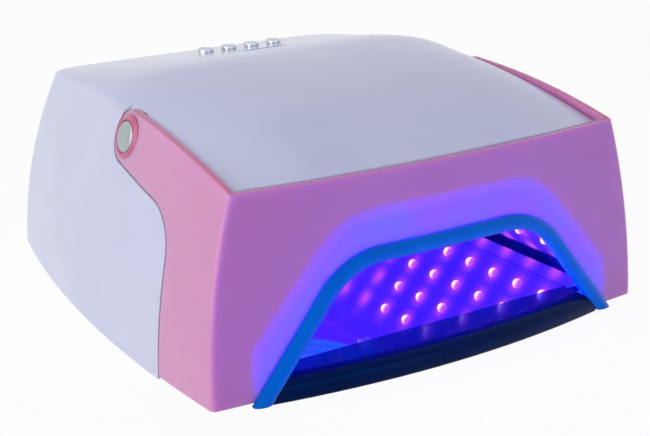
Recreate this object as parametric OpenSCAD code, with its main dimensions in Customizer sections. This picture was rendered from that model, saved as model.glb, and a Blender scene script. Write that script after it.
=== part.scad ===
// Desktop UV nail lamp: a white moulded housing, a translucent visor that swings up on
// two side pivots, a mirror tray that pulls out of the front, and the lamp chamber with
// its reflector, diode panels, coiled tube, push buttons and display.
// Millimetres. X runs across the lamp, -Y is the front, +Z is up. The origin is under
// the middle of the lamp, on the surface it stands on.

/* [Housing] */
// Greatest width of the housing, at the floor
housing_w = 226; // [218:1:236]
// Depth of the housing from the visor's lower corners to the rear wall
housing_d = 237; // [228:1:250]
// Height of the top edge along the sides, at its crest
crest_z = 96.6; // [92:0.2:104]
// Extra height of the crowned roof between its side edges
crown = 11; // [6:0.5:14]
// Wall thickness of the housing
wall = 2.5; // [2:0.1:3]
// Distance from the front to the widest place of the sides
belly_y = 42; // [36:1:50]
// Distance from the front to the crest of the top edge
crest_y = 108; // [102:1:116]
// Radius of the sides seen from above
plan_r = 675; // [600:5:800]
// Radius of the sides seen from the front
side_r = 270; // [240:5:320]
// Radius of the top edge in front of the crest
front_fall_r = 408; // [380:2:480]
// Radius of the top edge behind the crest
rear_fall_r = 620; // [560:10:800]
// Backward lean of the front face, in degrees
face_lean = 5; // [3:0.5:7]
// Forward bow of the front face at its middle
face_bow = 5.1; // [2:0.1:7]
// Forward lean of the rear wall, in degrees
rear_lean = 6.9; // [4:0.1:9]
// Radius of the rear wall seen from the side
rear_r = 270; // [240:5:320]
// Bow of the rear wall at its middle
rear_bow = 3.3; // [2:0.1:6]
// Radius of the upright rear corners
rear_corner_r = 21; // [16:1:26]
// Radius of the upright front corners
front_corner_r = 2.5; // [2:0.5:4]
// Radius of the housing's soft top edge
top_edge_r = 3; // [2:0.5:4]

/* [Visor] */
// Thickness of the visor
visor_t = 3; // [2.5:0.1:3.4]
// Clearance between the visor and the housing behind it
visor_gap = 0.4; // [0.3:0.05:0.5]
// Distance from the front to the visor's pivot
pivot_y = 92; // [88:1:95]
// Height of the visor's pivot
pivot_z = 85.7; // [84.7:0.1:86]
// Radius of the round end of each visor arm
arm_end_r = 10.7; // [9.8:0.1:11]
// Distance from the front to the lower rear edge of each arm
arm_rear_y = 40.5; // [34:0.5:46]
// Radius of the inner bend of each arm
arm_bend_r = 20; // [14:1:24]
// Rise of the arm's lower edge towards the pivot, in degrees
arm_rise = 9.7; // [7:0.1:12]
// Opening angle of the visor, in degrees
visor_open = 70; // [55:1:75]
// Diameter of the silver pivot caps
cap_d = 13.4; // [12:0.2:14]
// Tilt of the pivot caps, which follow the leaning side, in degrees
cap_tilt = 15; // [12:0.5:18]

/* [Arch] */
// Distance from the housing's widest side to the foot of the arch trim
arch_side = 20.3; // [19:0.1:23]
// Distance from the housing's widest side to the arch trim's sharp upper corner
arch_corner_in = 65.9; // [63:0.1:68]
// Height of the arch trim
arch_h = 52; // [50:0.1:54]
// Corner radius of the arch trim
arch_r = 30; // [24:1:34]
// Width of the arch trim
trim_w = 4.8; // [4:0.1:6]
// Height of the arch trim above the visor's face
trim_out = 3.6; // [2.5:0.1:4.5]
// Width of the trim's edge that laps over the visor
trim_lap = 2; // [1.5:0.1:2.2]
// Depth of the trim's flange inside the visor's arch
trim_in = 1.5; // [1:0.1:2.5]

/* [Chamber] */
// Distance from the housing's widest side to its own front opening
mouth_side = 24.5; // [23:0.1:27]
// Height of the housing's own front opening
mouth_h = 65; // [62:0.5:66]
// Distance from the housing's widest side to that opening's sharp upper corner
mouth_corner_in = 65.7; // [63:0.1:68]
// Slope of that opening's sides, in degrees
mouth_slope = 45; // [43:0.5:48]
// Corner radius of that opening
mouth_r = 24; // [18:1:28]
// Depth of the lamp chamber's rear wall from the front
chamber_d = 192; // [184:1:195]
// Slope of the chamber's diode panels, in degrees
panel_slope = 50.3; // [48:0.1:52]
// Distance from the housing's widest side to the flat ceiling's sharp corner
panel_corner_in = 63; // [61:0.5:65]
// Thickness of the reflector sheet
liner_t = 1.2; // [1:0.1:1.5]
// Diode columns along each panel
led_columns = 6; // [4:1:6]
// Diode rows up each panel
led_rows = 4; // [3:1:4]
// Distance between diode columns
led_pitch_y = 17.5; // [15:0.1:18]
// Distance between diode rows
led_pitch_s = 13.5; // [12:0.1:14]
// Diameter of a diode lens
led_d = 5; // [4:0.2:5.4]
// Diameter of the coiled tube
tube_d = 4; // [3:0.2:4.4]
// Turns of the coiled tube
tube_turns = 3; // [2:1:3]
// Distance between the turns of the coiled tube
tube_pitch = 8; // [7:0.2:9]

/* [Tray] */
// Height of the mirror above the visor's lower edge
floor_z = 8; // [7.5:0.1:8.5]
// Width of the mirror strip and ridged wall beside the tray
tray_side = 10.6; // [10.5:0.1:14]
// Sideways reach of the tray's guide tongues
tongue = 3.8; // [3:0.1:4]
// Thickness of the tray's guide tongues
tongue_t = 2; // [1.6:0.1:2.2]
// Reach of the tray's lip in front of the visor's lower corners
lip_out = 11.7; // [9:0.1:15]
// Radius of the lip's front seen from above
lip_plan_r = 475; // [400:5:560]
// Radius of the lip's rounded front edge
lip_r = 7; // [5:0.5:8]
// Thickness of the mirror sheet
mirror_t = 1.5; // [1:0.1:2]

/* [Controls] */
// Diameter of the push buttons
button_d = 7.4; // [6.4:0.2:7.8]
// Height of the push buttons above the roof
button_out = 1.3; // [1.2:0.1:3]
// Press travel of the push buttons
button_travel = 0.8; // [0.5:0.1:1]
// Distance between the push buttons
button_pitch = 12.7; // [12:0.1:14]
// Distance from the front to the row of push buttons
button_y = 160; // [155:1:161]
// Width of the display window
window_w = 24; // [20:0.5:27]
// Depth of the display window from front to back
window_d = 9.5; // [8:0.5:11]
// Distance from the front to the display window
window_y = 140; // [137:1:142]
// Thickness of the circuit boards
board_t = 1.6; // [1:0.1:2]
// Diameter of the power socket's mouth
jack_d = 5.6; // [5.5:0.1:6]

/* [Base] */
// Thickness of the base frame
base_t = 2.2; // [1.8:0.1:2.4]
// Diameter of the rubber feet
foot_d = 12; // [9:0.5:13]
// Height that the feet hold the housing above the table
foot_out = 1; // [0.8:0.1:1.5]

/* [Hidden] */
$fn = 64;

// Colours
white = [0.86, 0.87, 0.95];
pink = [0.92, 0.6, 0.78, 0.8];
blue = [0.05, 0.45, 0.8];
silver = [0.7, 0.72, 0.74];
navy = [0.06, 0.08, 0.2];
board_green = [0.1, 0.4, 0.25];

// Shared sizes
half_w = housing_w / 2;
arch_foot = half_w - arch_side;
arch_shoulder = half_w - arch_corner_in;
mouth_half_w = half_w - mouth_side;
mouth_shoulder = half_w - mouth_corner_in;
panel_top = half_w - panel_corner_in;
tray_half_w = mouth_half_w - tray_side;
side_inset = visor_t + visor_gap;     // housing sides lie this far in under the visor
shell_z = -1;                         // lower edge of the housing
stand_h = foot_out - shell_z;         // visor's lower edge above the table
fit_gap = 0.3;                        // between neighbouring fixed pieces
slide_gap = 0.2;                      // around the tray's tongues
big = 400;

// Small helpers
function sq(v) = v * v;
function mix(a, b, t) = a + (b - a) * t;
function clamp01(t) = max(0, min(1, t));
function drop(r, v) = r - sqrt(r * r - v * v);
function arc(cx, cy, r, a0, a1, n) =
    [for (i = [0:n]) let (a = mix(a0, a1, i / n)) [cx + r * cos(a), cy + r * sin(a)]];
function mirrored(half) = [for (i = [len(half) - 1:-1:0]) [-half[i].x, half[i].y]];

// Outer surfaces of the lamp
function side_x(y, z) = half_w - sq(y - belly_y) / (2 * plan_r) - drop(side_r, z);
function face_y(x, z) = z * tan(face_lean) - face_bow * (1 - sq(x / half_w));
function rear_y(x, z) =
    housing_d - drop(rear_r, z) - z * tan(rear_lean) - rear_bow * sq(x / half_w);
function edge_z(y) =
    crest_z - sq(y - crest_y) / (2 * (y < crest_y ? front_fall_r : rear_fall_r));

// Middle of the whole lamp, from the lip to the rear wall
mid_y = (rear_y(0, shell_z) - lip_out) / 2;

// Roof height: the side edges' height plus a crown that starts at the front edge,
// is full at the crest and fades out at the rear edge
front_edge_y = 7;
rear_edge_y = rear_y(0, edge_z(rear_y(0, crest_z)));
crown_power = 4.5;
function crown_at(y) = crown * (y < crest_y
    ? pow(sin(90 * clamp01((y - front_edge_y) / (crest_y - front_edge_y))), 1.2)
    : sq(cos(90 * clamp01((y - crest_y) / (rear_edge_y - crest_y)))));
function roof_z(x, y) =
    edge_z(y) + crown_at(y) * (1 - pow(min(1, abs(x) / side_x(y, edge_z(y))), crown_power));

// Edge of the recess that holds the visor arm, as a distance from the front at a height.
// It runs up behind the arm, bends round under it, circles the pivot and leans forward to
// the roof, where the open arm stops. off moves it away from the arm.
recess_r = arm_end_r + visor_gap;
function line_z(off) = pivot_z - (recess_r + off) / cos(arm_rise);
function under_z(y, off) = line_z(off) - (pivot_y - y) * tan(arm_rise);
function bend_r(off) = arm_bend_r - off;
function bend_y(off) = arm_rear_y + visor_gap + off + bend_r(off);
function bend_z(off) = under_z(bend_y(off), off) - bend_r(off) / cos(arm_rise);
function bend_end_z(off) = bend_z(off) + bend_r(off) * cos(arm_rise);
function round_start_z(off) = pivot_z - (recess_r + off) * cos(arm_rise);
function round_end_z(off) = pivot_z + (recess_r + off) * cos(visor_open);
function step_y(z, off) =
    z < bend_z(off) ? arm_rear_y + visor_gap + off
    : z < bend_end_z(off) ? bend_y(off) - sqrt(max(0, sq(bend_r(off)) - sq(z - bend_z(off))))
    : z < round_start_z(off) ? pivot_y - (line_z(off) - z) / tan(arm_rise)
    : z < round_end_z(off) ? pivot_y + sqrt(max(0, sq(recess_r + off) - sq(z - pivot_z)))
    : pivot_y + (recess_r + off) / sin(visor_open)
      - (z - pivot_z) / tan(visor_open);

// Outline of the housing at one height, from the middle of the front round the left side
// to the middle of the rear. The front part lies inset by df, the part behind the recess
// edge by dr; off is the recess edge's own offset.
front_n = 6;
corner_n = 3;
arm_n = 6;
flank_n = 7;
rear_corner_n = 5;
rear_n = 3;
front_part_n = front_n + corner_n + arm_n + 1;
flank_slope = atan((housing_d - rear_corner_r - belly_y) / plan_r);
// Round front corner of the surface that lies inset by d: its radius and its centre
function corner_r(d) = max(0.8, front_corner_r - d);
function corner_x(z, d) = let (r = corner_r(d) + d)
    side_x(face_y(half_w, z) + r, z) - r;
function rear_tangent_y(z) =
    rear_y(half_w * 0.7, z) - rear_corner_r * (1 - sin(flank_slope));
function rear_centre_x(z) =
    side_x(rear_tangent_y(z), z) - rear_corner_r * cos(flank_slope);
function rear_centre_y(z) = rear_y(rear_centre_x(z), z) - rear_corner_r;
function half_outline(z, df, dr, off) = let (
    xc = corner_x(z, df),
    rc = corner_r(df),
    yc = face_y(xc, z) + df + rc,
    ys = step_y(z, off),
    xr = rear_centre_x(z),
    yr = rear_centre_y(z),
    rr = rear_corner_r - dr,
    y_end = yr + rr * sin(flank_slope)
) concat(
    [for (i = [0:front_n - 1]) let (x = -xc * i / front_n) [x, face_y(x, z) + df]],
    [for (i = [0:corner_n - 1]) let (a = 90 * i / corner_n)
        [-xc - rc * sin(a), yc - rc * cos(a)]],
    [for (i = [0:arm_n]) let (y = mix(yc, ys, i / arm_n)) [df - side_x(y, z), y]],
    [for (i = [0:flank_n - 1]) let (y = mix(ys, y_end, i / flank_n)) [dr - side_x(y, z), y]],
    [for (i = [0:rear_corner_n]) let (a = mix(flank_slope, 90, i / rear_corner_n))
        [-xr - rr * cos(a), yr + rr * sin(a)]],
    [for (i = [1:rear_n]) let (x = -xr * (1 - i / rear_n)) [x, rear_y(x, z) - dr]]
);
half_count = front_n + corner_n + arm_n + 1 + flank_n + rear_corner_n + 1 + rear_n;

// Levels up the side. Those below level_z0 are flat; those above follow the top edge.
level_z0 = 76;
function level_z(level, y, lid, edge, last_edge) = level <= level_z0 ? level
    : level_z0 + (level - level_z0)
      * (edge_z(y) - lid - edge - level_z0) / (crest_z - lid - last_edge - level_z0);
function side_levels(off, lid, edge) = concat(
    [shell_z, bend_z(off) * 0.35, bend_z(off) * 0.7],
    [for (i = [0:4]) bend_z(off) + (bend_end_z(off) - bend_z(off)) * sin(i * 22.5)],
    [mix(bend_end_z(off), round_start_z(off), 0.5)],
    [for (a = [90 - arm_rise:-22:-14]) pivot_z - (recess_r + off) * sin(a)],
    [round_end_z(off), crest_z - lid - edge]
);
// One ring of 3-D points at a level, both halves
function ring(level, df, dr, off, lid, ef, er) = let (
    flat_z = min(level, crest_z - lid - 1),
    draft = half_outline(flat_z, df, dr, off),
    half = [for (i = [0:half_count - 1]) let (
        z = level_z(level, draft[i].y, lid, i < front_part_n ? ef : er, er),
        p = half_outline(z, df, dr, off)[i]) [p.x, p.y, z]]
) both_sides(half);
function both_sides(half) = concat(half,
    [for (i = [len(half) - 2:-1:1]) [-half[i].x, half[i].y, half[i].z]]);
// The soft edge and the roof above the last side ring
function edge_ring(top, a, df, lid, ef, er) = let (n = len(top)) [
    for (i = [0:n - 1]) let (
        in_front = i < front_part_n || i > n - front_part_n,
        e = in_front ? ef : er,
        shrink = 1 - e * (1 - cos(a)) / half_w,
        x = top[i].x * shrink,
        y = crest_y + (top[i].y - crest_y) * shrink)
        [x, y, mix(top[i].z, roof_z(x, y) - lid, sin(a))]];
function roof_ring(top, s, lid) = [for (p = top)
    let (x = p.x * s, y = crest_y + (p.y - crest_y) * s) [x, y, roof_z(x, y) - lid]];
roof_steps = [0.96, 0.89, 0.79, 0.64, 0.42, 0.2];
function cup(df, dr, off, lid, ef, er) = let (
    sides = [for (v = side_levels(off, lid, er)) ring(v, df, dr, off, lid, ef, er)],
    top = sides[len(sides) - 1],
    edges = [for (a = [30, 60, 90]) edge_ring(top, a, df, lid, ef, er)],
    roofs = [for (s = roof_steps) roof_ring(edges[2], s, lid)]
) concat(sides, edges, roofs);

// Closed solid from a stack of equal rings with an apex at either end
module ring_stack(rings, first_apex, last_apex) {
    n = len(rings[0]);
    m = len(rings);
    points = concat([for (r = rings) for (p = r) p], [first_apex, last_apex]);
    strips = [for (k = [0:m - 2]) for (i = [0:n - 1]) let (
        a = k * n + i, b = k * n + (i + 1) % n, c = a + n, d = b + n)
        each [[a, b, c], [b, d, c]]];
    first_fan = [for (i = [0:n - 1]) [n * m, (i + 1) % n, i]];
    last_fan = [for (i = [0:n - 1]) [n * m + 1, (m - 1) * n + i, (m - 1) * n + (i + 1) % n]];
    polyhedron(points, concat(strips, first_fan, last_fan), convexity = 8);
}

// Puts everything modelled from the front's lower edge into the lamp's own frame
module placed() translate([0, -mid_y, stand_h]) children();
module both() {
    children();
    mirror([1, 0, 0]) children();
}
// Extrusions of drawings made in the front view (x, z) and in the side view (y, z)
module front_prism(y0, y1) translate([0, y1, 0]) rotate([90, 0, 0])
    linear_extrude(y1 - y0, convexity = 8) children();
module side_prism(x0, x1) translate([x0, 0, 0]) rotate([90, 0, 90])
    linear_extrude(x1 - x0, convexity = 8) children();

// Arch with straight legs and round upper corners, inset by t, down to z_low
function leg_angle(foot, shoulder, h) = atan(h / (foot - shoulder));
function arch(foot, shoulder, h, r, t, z_low) = let (
    a = leg_angle(foot, shoulder, h),
    foot_x = foot - z_low / tan(a) - t / sin(a),
    cx = shoulder - r * tan(a / 2),
    half = concat([[foot_x, z_low]], arc(cx, h - r, r - t, 90 - a, 90, 6))
) concat(half, mirrored(half));
function mouth(t, z_low) = arch(mouth_foot, mouth_shoulder, mouth_h, mouth_r, t, z_low);
mouth_foot = mouth_shoulder + mouth_h / tan(mouth_slope);

// Side view of the visor: front panel and arms, ending round the pivot
arm_line_z = pivot_z - arm_end_r / cos(arm_rise);
arm_bend_y = arm_rear_y + arm_bend_r + visor_gap;
arm_bend_z = arm_line_z - (pivot_y - arm_bend_y) * tan(arm_rise)
    - (arm_bend_r + visor_gap) / cos(arm_rise);
module visor_side() {
    edge_n = 10;
    top_a = asin((crest_y - pivot_y) / front_fall_r);
    front_a = asin((crest_y + face_bow) / front_fall_r);
    top_cz = crest_z - front_fall_r;
    polygon(concat(
        [[-2 * face_bow, 0], [arm_rear_y, 0]],
        arc(arm_bend_y, arm_bend_z, arm_bend_r + visor_gap, 180, 90 + arm_rise, 8),
        arc(pivot_y, pivot_z, arm_end_r, arm_rise - 90, 90 + top_a, 18),
        arc(crest_y, top_cz, front_fall_r, 90 + top_a, 90 + front_a, edge_n),
        [[-2 * face_bow, top_cz + front_fall_r * cos(front_a)]]
    ));
}

// The bent visor sheet before it is trimmed: front face, round corners and both sides
module visor_sheet() {
    y_end = pivot_y + arm_end_r + 2;
    function strip(z, d) = let (
        xc = corner_x(z, d),
        rc = corner_r(d),
        yc = face_y(xc, z) + d + rc,
        half = concat(
            [for (i = [0:front_n - 1]) let (x = -xc * i / front_n) [x, face_y(x, z) + d, z]],
            [for (i = [0:corner_n - 1]) let (a = 90 * i / corner_n)
                [-xc - rc * sin(a), yc - rc * cos(a), z]],
            [for (i = [0:arm_n + 3]) let (y = mix(yc, y_end, i / (arm_n + 3)))
                [d - side_x(y, z), y, z]]))
        concat([for (i = [len(half) - 1:-1:0]) half[i]],
            [for (i = [1:len(half) - 1]) [-half[i].x, half[i].y, half[i].z]]);
    levels = [for (i = [0:9]) mix(-1, crest_z + 1, i / 9)];
    rings = [for (z = levels) let (inner = strip(z, visor_t))
        concat(strip(z, 0), [for (i = [len(inner) - 1:-1:0]) inner[i]])];
    n = len(rings[0]);
    half_n = n / 2;
    points = [for (r = rings) for (p = r) p];
    walls = [for (k = [0:len(rings) - 2]) for (i = [0:n - 1]) let (
        a = k * n + i, b = k * n + (i + 1) % n, c = a + n, d = b + n)
        each [[a, c, b], [b, c, d]]];
    last = (len(rings) - 1) * n;
    lids = [for (i = [0:half_n - 2]) let (a = i, b = i + 1, c = n - 1 - i, d = n - 2 - i)
        each [[a, b, c], [b, d, c], [last + a, last + c, last + b],
            [last + b, last + c, last + d]]];
    polyhedron(points, concat(walls, lids), convexity = 8);
}

// Block behind the side surface round the pivot, its outer face inset by d
module pivot_block(d, y_half, z_low, z_high, x_in) {
    n = 4;
    points = concat(
        [for (j = [0:n]) for (i = [0:n]) let (
            y = pivot_y + mix(-y_half, y_half, i / n), z = mix(z_low, z_high, j / n))
            [side_x(y, z) - d, y, z]],
        [for (j = [0:n]) for (i = [0:n])
            [x_in, pivot_y + mix(-y_half, y_half, i / n), mix(z_low, z_high, j / n)]]);
    m = (n + 1) * (n + 1);
    quads = [for (j = [0:n - 1]) for (i = [0:n - 1]) let (
        a = j * (n + 1) + i, b = a + 1, c = a + n + 1, d = c + 1)
        each [[a, c, b], [b, c, d], [m + a, m + b, m + c], [m + b, m + d, m + c]]];
    rows = [for (i = [0:n - 1]) let (t = n * (n + 1) + i, l = i * (n + 1), r = l + n)
        each [[i, i + 1, m + i], [i + 1, m + i + 1, m + i],
            [t, m + t, t + 1], [t + 1, m + t, m + t + 1],
            [l, m + l, l + n + 1], [l + n + 1, m + l, m + l + n + 1],
            [r, r + n + 1, m + r], [r + n + 1, m + r + n + 1, m + r]]];
    polyhedron(points, concat(quads, rows), convexity = 4);
}
module along_x(r, x0, x1) translate([x0, pivot_y, pivot_z])
    rotate([0, 90, 0]) cylinder(r = r, h = x1 - x0);
// Seat and cap stand on the leaning side surface, on the right side of the lamp
pivot_x = side_x(pivot_y, pivot_z);
cap_turn = atan((pivot_y - belly_y) / plan_r);
module on_cap_axis() translate([pivot_x, pivot_y, pivot_z])
    rotate([0, 0, cap_turn]) rotate([0, 90 - cap_tilt, 0]) children();

// Pivot sizes along X
hub_in = side_x(pivot_y, pivot_z + arm_end_r) - side_inset;
hub_web = 2.2;
hub_step = 0.2;                       // keeps the hub's edge clear of the arm's end
pocket_x = hub_in - fit_gap;
boss_in = pocket_x - 6;
shoulder_r = 2.5;
screw_head_r = 3.8;
screw_head_t = 1.3;
thread_r = 1.7;
run_gap = 0.05;
cap_seat = 2;
cap_out = 1.2;

module visor() color(pink) placed() {
    difference() {
        union() {
            intersection() {
                visor_sheet();
                side_prism(-big, big) visor_side();
            }
            both() intersection() {
                pivot_block(visor_t / 2, arm_end_r + 1, pivot_z - arm_end_r - 1,
                    pivot_z + arm_end_r + 1, hub_in);
                along_x(arm_end_r - hub_step, hub_in - 1, half_w);
            }
        }
        front_prism(-big, big / 4)
            polygon(arch(arch_foot, arch_shoulder, arch_h, arch_r, trim_lap, -2));
        both() {
            on_cap_axis() translate([0, 0, -cap_seat])
                cylinder(r = cap_d / 2 + slide_gap, h = big);
            along_x(screw_head_r + fit_gap, hub_in + hub_web, half_w);
            along_x(shoulder_r + run_gap, hub_in - 1, half_w);
        }
    }
}

module hinge_cap() on_cap_axis() translate([0, 0, 0.1 - cap_seat]) {
    edge = 0.5;
    h = cap_seat + cap_out - 0.1;
    cylinder(r = cap_d / 2, h = h - edge);
    translate([0, 0, h - edge]) cylinder(r1 = cap_d / 2, r2 = cap_d / 2 - edge, h = edge);
}
module hinge_cap_left() color(silver) placed() mirror([1, 0, 0]) hinge_cap();
module hinge_cap_right() color(silver) placed() hinge_cap();

module hinge_screws() color(silver) placed() both() {
    head_x = hub_in + hub_web + slide_gap;
    along_x(thread_r, boss_in + 1, pocket_x);
    along_x(shoulder_r, pocket_x, head_x);
    difference() {
        along_x(screw_head_r, head_x, head_x + screw_head_t);
        translate([head_x + screw_head_t - 0.4, pivot_y - 0.5, pivot_z - screw_head_r])
            cube([1, 1, 2 * screw_head_r]);
    }
}

// Trim: a rounded bead on the visor's face with a flange inside the visor's arch. Its
// section is given as inset from the arch line and height above the face.
foot_z = -1;
leg_n = 5;
top_n = 8;
bead = [for (a = [0:30:180]) [trim_w / 2 * (1 - cos(a)), trim_out * (0.45 + 0.55 * sin(a))]];
trim_section = concat([[0, 0.05]], bead,
    [[trim_w, -trim_in], [trim_lap + 0.15, -trim_in], [trim_lap + 0.15, 0.05]]);
trim_core = [mix(trim_lap, trim_w, 0.5), trim_out / 2];
// Arch line with extra points along its straight legs and top, for surfaces that bend
function fine_arch(t) = let (
    line = arch(arch_foot, arch_shoulder, arch_h, arch_r, t, foot_z),
    half = [for (i = [0:len(line) / 2 - 1]) line[i]],
    last = half[len(half) - 1],
    leg = [for (i = [0:leg_n - 1]) mix(half[0], half[1], i / leg_n)],
    corner = [for (i = [1:len(half) - 1]) half[i]],
    top = [for (i = [1:top_n]) mix(last, [0, last.y], i / top_n)]
) concat(leg, corner, top, [for (i = [top_n - 1:-1:1]) [-top[i - 1].x, top[i - 1].y]],
    [for (i = [len(corner) - 1:-1:0]) [-corner[i].x, corner[i].y]],
    [for (i = [leg_n - 1:-1:0]) [-leg[i].x, leg[i].y]]);
function on_face(p, out) = [p.x, face_y(p.x, p.y) - out, p.y];
module visor_trim() color(blue) placed() {
    lines = [for (q = trim_section) fine_arch(q.x)];
    core = fine_arch(trim_core.x);
    n = len(core);
    rings = [for (i = [n - 1:-1:0]) [for (k = [0:len(trim_section) - 1])
        on_face(lines[k][i], trim_section[k].y)]];
    ring_stack(rings, on_face(core[n - 1], trim_core.y), on_face(core[0], trim_core.y));
}

// Housing
inner_front = side_inset + wall;
column_top = 25;
front_column = [half_w - 9, arm_rear_y + 14];
rear_column = [half_w - 35, housing_d - 24];
column_r = 3.5;
screw_r = 1.4;
screw_len = 12;
guide_r = button_d / 2 + 2.2;
guide_len = 3;
roof_here = roof_z(0, button_y);
guide_z = roof_here - wall - guide_len;
stem_z = guide_z - 1.2;
board_z = guide_z - 9;
board_hole = [28, 14];
board_y = (button_y + window_y) / 2;
jack_x = -52;
jack_z = 16;
jack_y = rear_y(jack_x, jack_z);
jack_body_r = 5.4;
vent_n = 9;
vent_pitch = 7;
vent_low = 34;
vent_high = 52;
function button_x(i) = (i - 1.5) * button_pitch;
window_slope = atan(roof_z(0, window_y + 1) - roof_z(0, window_y));
module on_window() translate([0, window_y, roof_z(0, window_y)])
    rotate([window_slope, 0, 0]) children();

module shell_body() {
    outer = cup(side_inset, 0, 0, 0, 0.8, top_edge_r);
    inner = cup(inner_front, wall, wall, wall, 0.8, 1);
    stack = concat([for (k = [len(inner) - 1:-1:0]) inner[k]], outer);
    roof = roof_z(0, crest_y);
    ring_stack(stack, [0, crest_y, roof - wall], [0, crest_y, roof]);
}
module shell_columns() {
    low = base_top + fit_gap;
    both() for (c = [front_column, rear_column]) {
        translate([c.x, c.y, low]) cylinder(r = column_r, h = column_top - low);
        translate([c.x, c.y - 1, low])
            cube([side_x(c.y, column_top) - wall / 4 - c.x, 2, column_top - low]);
    }
    for (sx = [-1, 1]) for (sy = [-1, 1]) let (
        x = sx * board_hole.x, y = board_y + sy * board_hole.y)
        translate([x, y, board_z + board_t]) cylinder(r = 2.6,
            h = roof_z(x, y) - wall / 2 - board_z - board_t);
}
module top_shell() color(white) placed() {
    difference() {
        union() {
            shell_body();
            both() intersection() {
                pivot_block(side_inset + wall / 2, recess_r + wall, pivot_z - recess_r - wall,
                    edge_z(pivot_y) - wall, boss_in);
                along_x(recess_r + wall - 0.1, boss_in - 1, half_w);
            }
            shell_columns();
            for (i = [0:3]) translate([button_x(i), button_y, guide_z])
                cylinder(r = guide_r, h = roof_here - wall / 2 - guide_z);
        }
        front_prism(-big / 8, big / 8) intersection() {
            polygon(mouth(0, -5));
            translate([-mouth_half_w, -5]) square([2 * mouth_half_w, mouth_h + 10]);
        }
        both() {
            along_x(recess_r + hub_step, pocket_x, half_w);
            along_x(thread_r + run_gap, boss_in - 1, half_w);
            for (c = [front_column, rear_column]) translate([c.x, c.y, -5])
                cylinder(r = screw_r + run_gap, h = column_top - 4);
        }
        for (i = [0:3]) translate([button_x(i), button_y, 0])
            cylinder(r = button_d / 2 + slide_gap, h = big);
        on_window() cube([window_w + 0.4, window_d + 0.4, 6 * wall], center = true);
        translate([jack_x, jack_y - 20, jack_z]) rotate([-90, 0, 0])
            cylinder(r = jack_body_r + slide_gap, h = 40);
        for (i = [0:vent_n - 1]) translate([(i - (vent_n - 1) / 2) * vent_pitch - 1,
            rear_y(0, vent_high) - 12, vent_low]) cube([2, 30, vent_high - vent_low]);
    }
}

// Base frame, open in the middle for the tray
base_top = shell_z + base_t;
tongue_z = base_top + slide_gap;
block_top = tongue_z + tongue_t + fit_gap;
tongue_x = tray_half_w + tongue;
ledge_x = tray_half_w - 2;
frame_open_y = chamber_d - 4;
liner_x = mouth_half_w + 2;
foot_places = [[half_w - 20, 24], [liner_x - 7, chamber_d - 8]];
module base_outline() {
    half = half_outline(0, inner_front + fit_gap, wall + fit_gap, wall + fit_gap);
    n = len(half);
    polygon(concat([for (i = [n - 1:-1:0]) half[i]],
        [for (i = [1:n - 2]) [-half[i].x, half[i].y]]));
}
module base_frame() color(white) placed() difference() {
    union() {
        translate([0, 0, shell_z]) linear_extrude(base_t, convexity = 8) base_outline();
        both() translate([tongue_x + 0.5, front_floor_y, base_top - 0.1])
            cube([liner_x + liner_t + 0.8 - tongue_x - 0.5, chamber_d - front_floor_y,
                block_top - base_top + 0.1]);
    }
    translate([-ledge_x, -big / 2, -big / 2]) cube([2 * ledge_x, big / 2 + frame_open_y, big]);
    both() {
        for (c = [front_column, rear_column]) translate([c.x, c.y, shell_z - 0.01]) {
            cylinder(r = screw_r + 0.15, h = 2 * base_t);
            cylinder(r1 = 2 * screw_r + 0.15, r2 = screw_r + 0.15, h = screw_r);
        }
        for (c = foot_places) translate([c.x, c.y, shell_z - 1])
            cylinder(r = foot_d / 2 + 0.15, h = 1.8);
    }
}
module rubber_feet() color([0.1, 0.1, 0.11]) placed() both()
    for (c = foot_places) translate([c.x, c.y, -stand_h])
        cylinder(r1 = foot_d / 2 - 0.6, r2 = foot_d / 2, h = foot_out + 0.75);
module base_screws() color(silver) placed() both()
    for (c = [front_column, rear_column]) translate([c.x, c.y, shell_z]) {
        cylinder(r1 = 2 * screw_r, r2 = screw_r, h = screw_r);
        cylinder(r = screw_r, h = screw_len);
    }

// Rails that hold the tray's tongues down. Each has a ledge for a strip of mirror beside
// the tray and a ridged wall outside it.
front_floor_y = 9;
rail_wall_h = 8;
rail_wall_t = 2.6;
rail_x0 = tray_half_w + 0.5;
rail_x1 = liner_x - fit_gap;
module tray_rail() {
    ridges = 3;
    step = rail_wall_h / ridges;
    lean = 1;
    wall_x = rail_x1 - rail_wall_t;
    front_prism(front_floor_y, chamber_d - 2) polygon(concat(
        [[rail_x0, block_top], [rail_x1, block_top], [rail_x1, floor_z + rail_wall_h]],
        [for (i = [ridges - 1:-1:0]) each [
            [wall_x + lean * (i + 1) / ridges, floor_z + step * (i + 1)],
            [wall_x + lean * (i + 1) / ridges, floor_z + step * (i + 0.4)],
            [wall_x + 0.9 + lean * i / ridges, floor_z + step * i]]],
        [[wall_x + 0.9, floor_z - mirror_t], [rail_x0, floor_z - mirror_t]]));
}
module tray_rail_left() color(navy) placed() mirror([1, 0, 0]) tray_rail();
module tray_rail_right() color(navy) placed() tray_rail();
module side_mirrors() color([0.75, 0.78, 0.95]) placed() both()
    translate([rail_x0, front_floor_y, floor_z - mirror_t])
        cube([rail_x1 - rail_wall_t + 0.8 - rail_x0, chamber_d - 2 - front_floor_y, mirror_t]);

// Reflector: a folded bright sheet, open below and in front
liner_front_y = 9.5;
ceiling_z = mouth_h + 1;
panel_foot = panel_top + ceiling_z / tan(panel_slope);
panel_low_s = (panel_foot - liner_x) / cos(panel_slope);
module liner_profile(t) intersection() {
    polygon(arch(panel_foot, panel_top, ceiling_z, 9, -t, block_top - 20));
    translate([-liner_x - t, block_top]) square([2 * (liner_x + t), mouth_h]);
}
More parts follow.
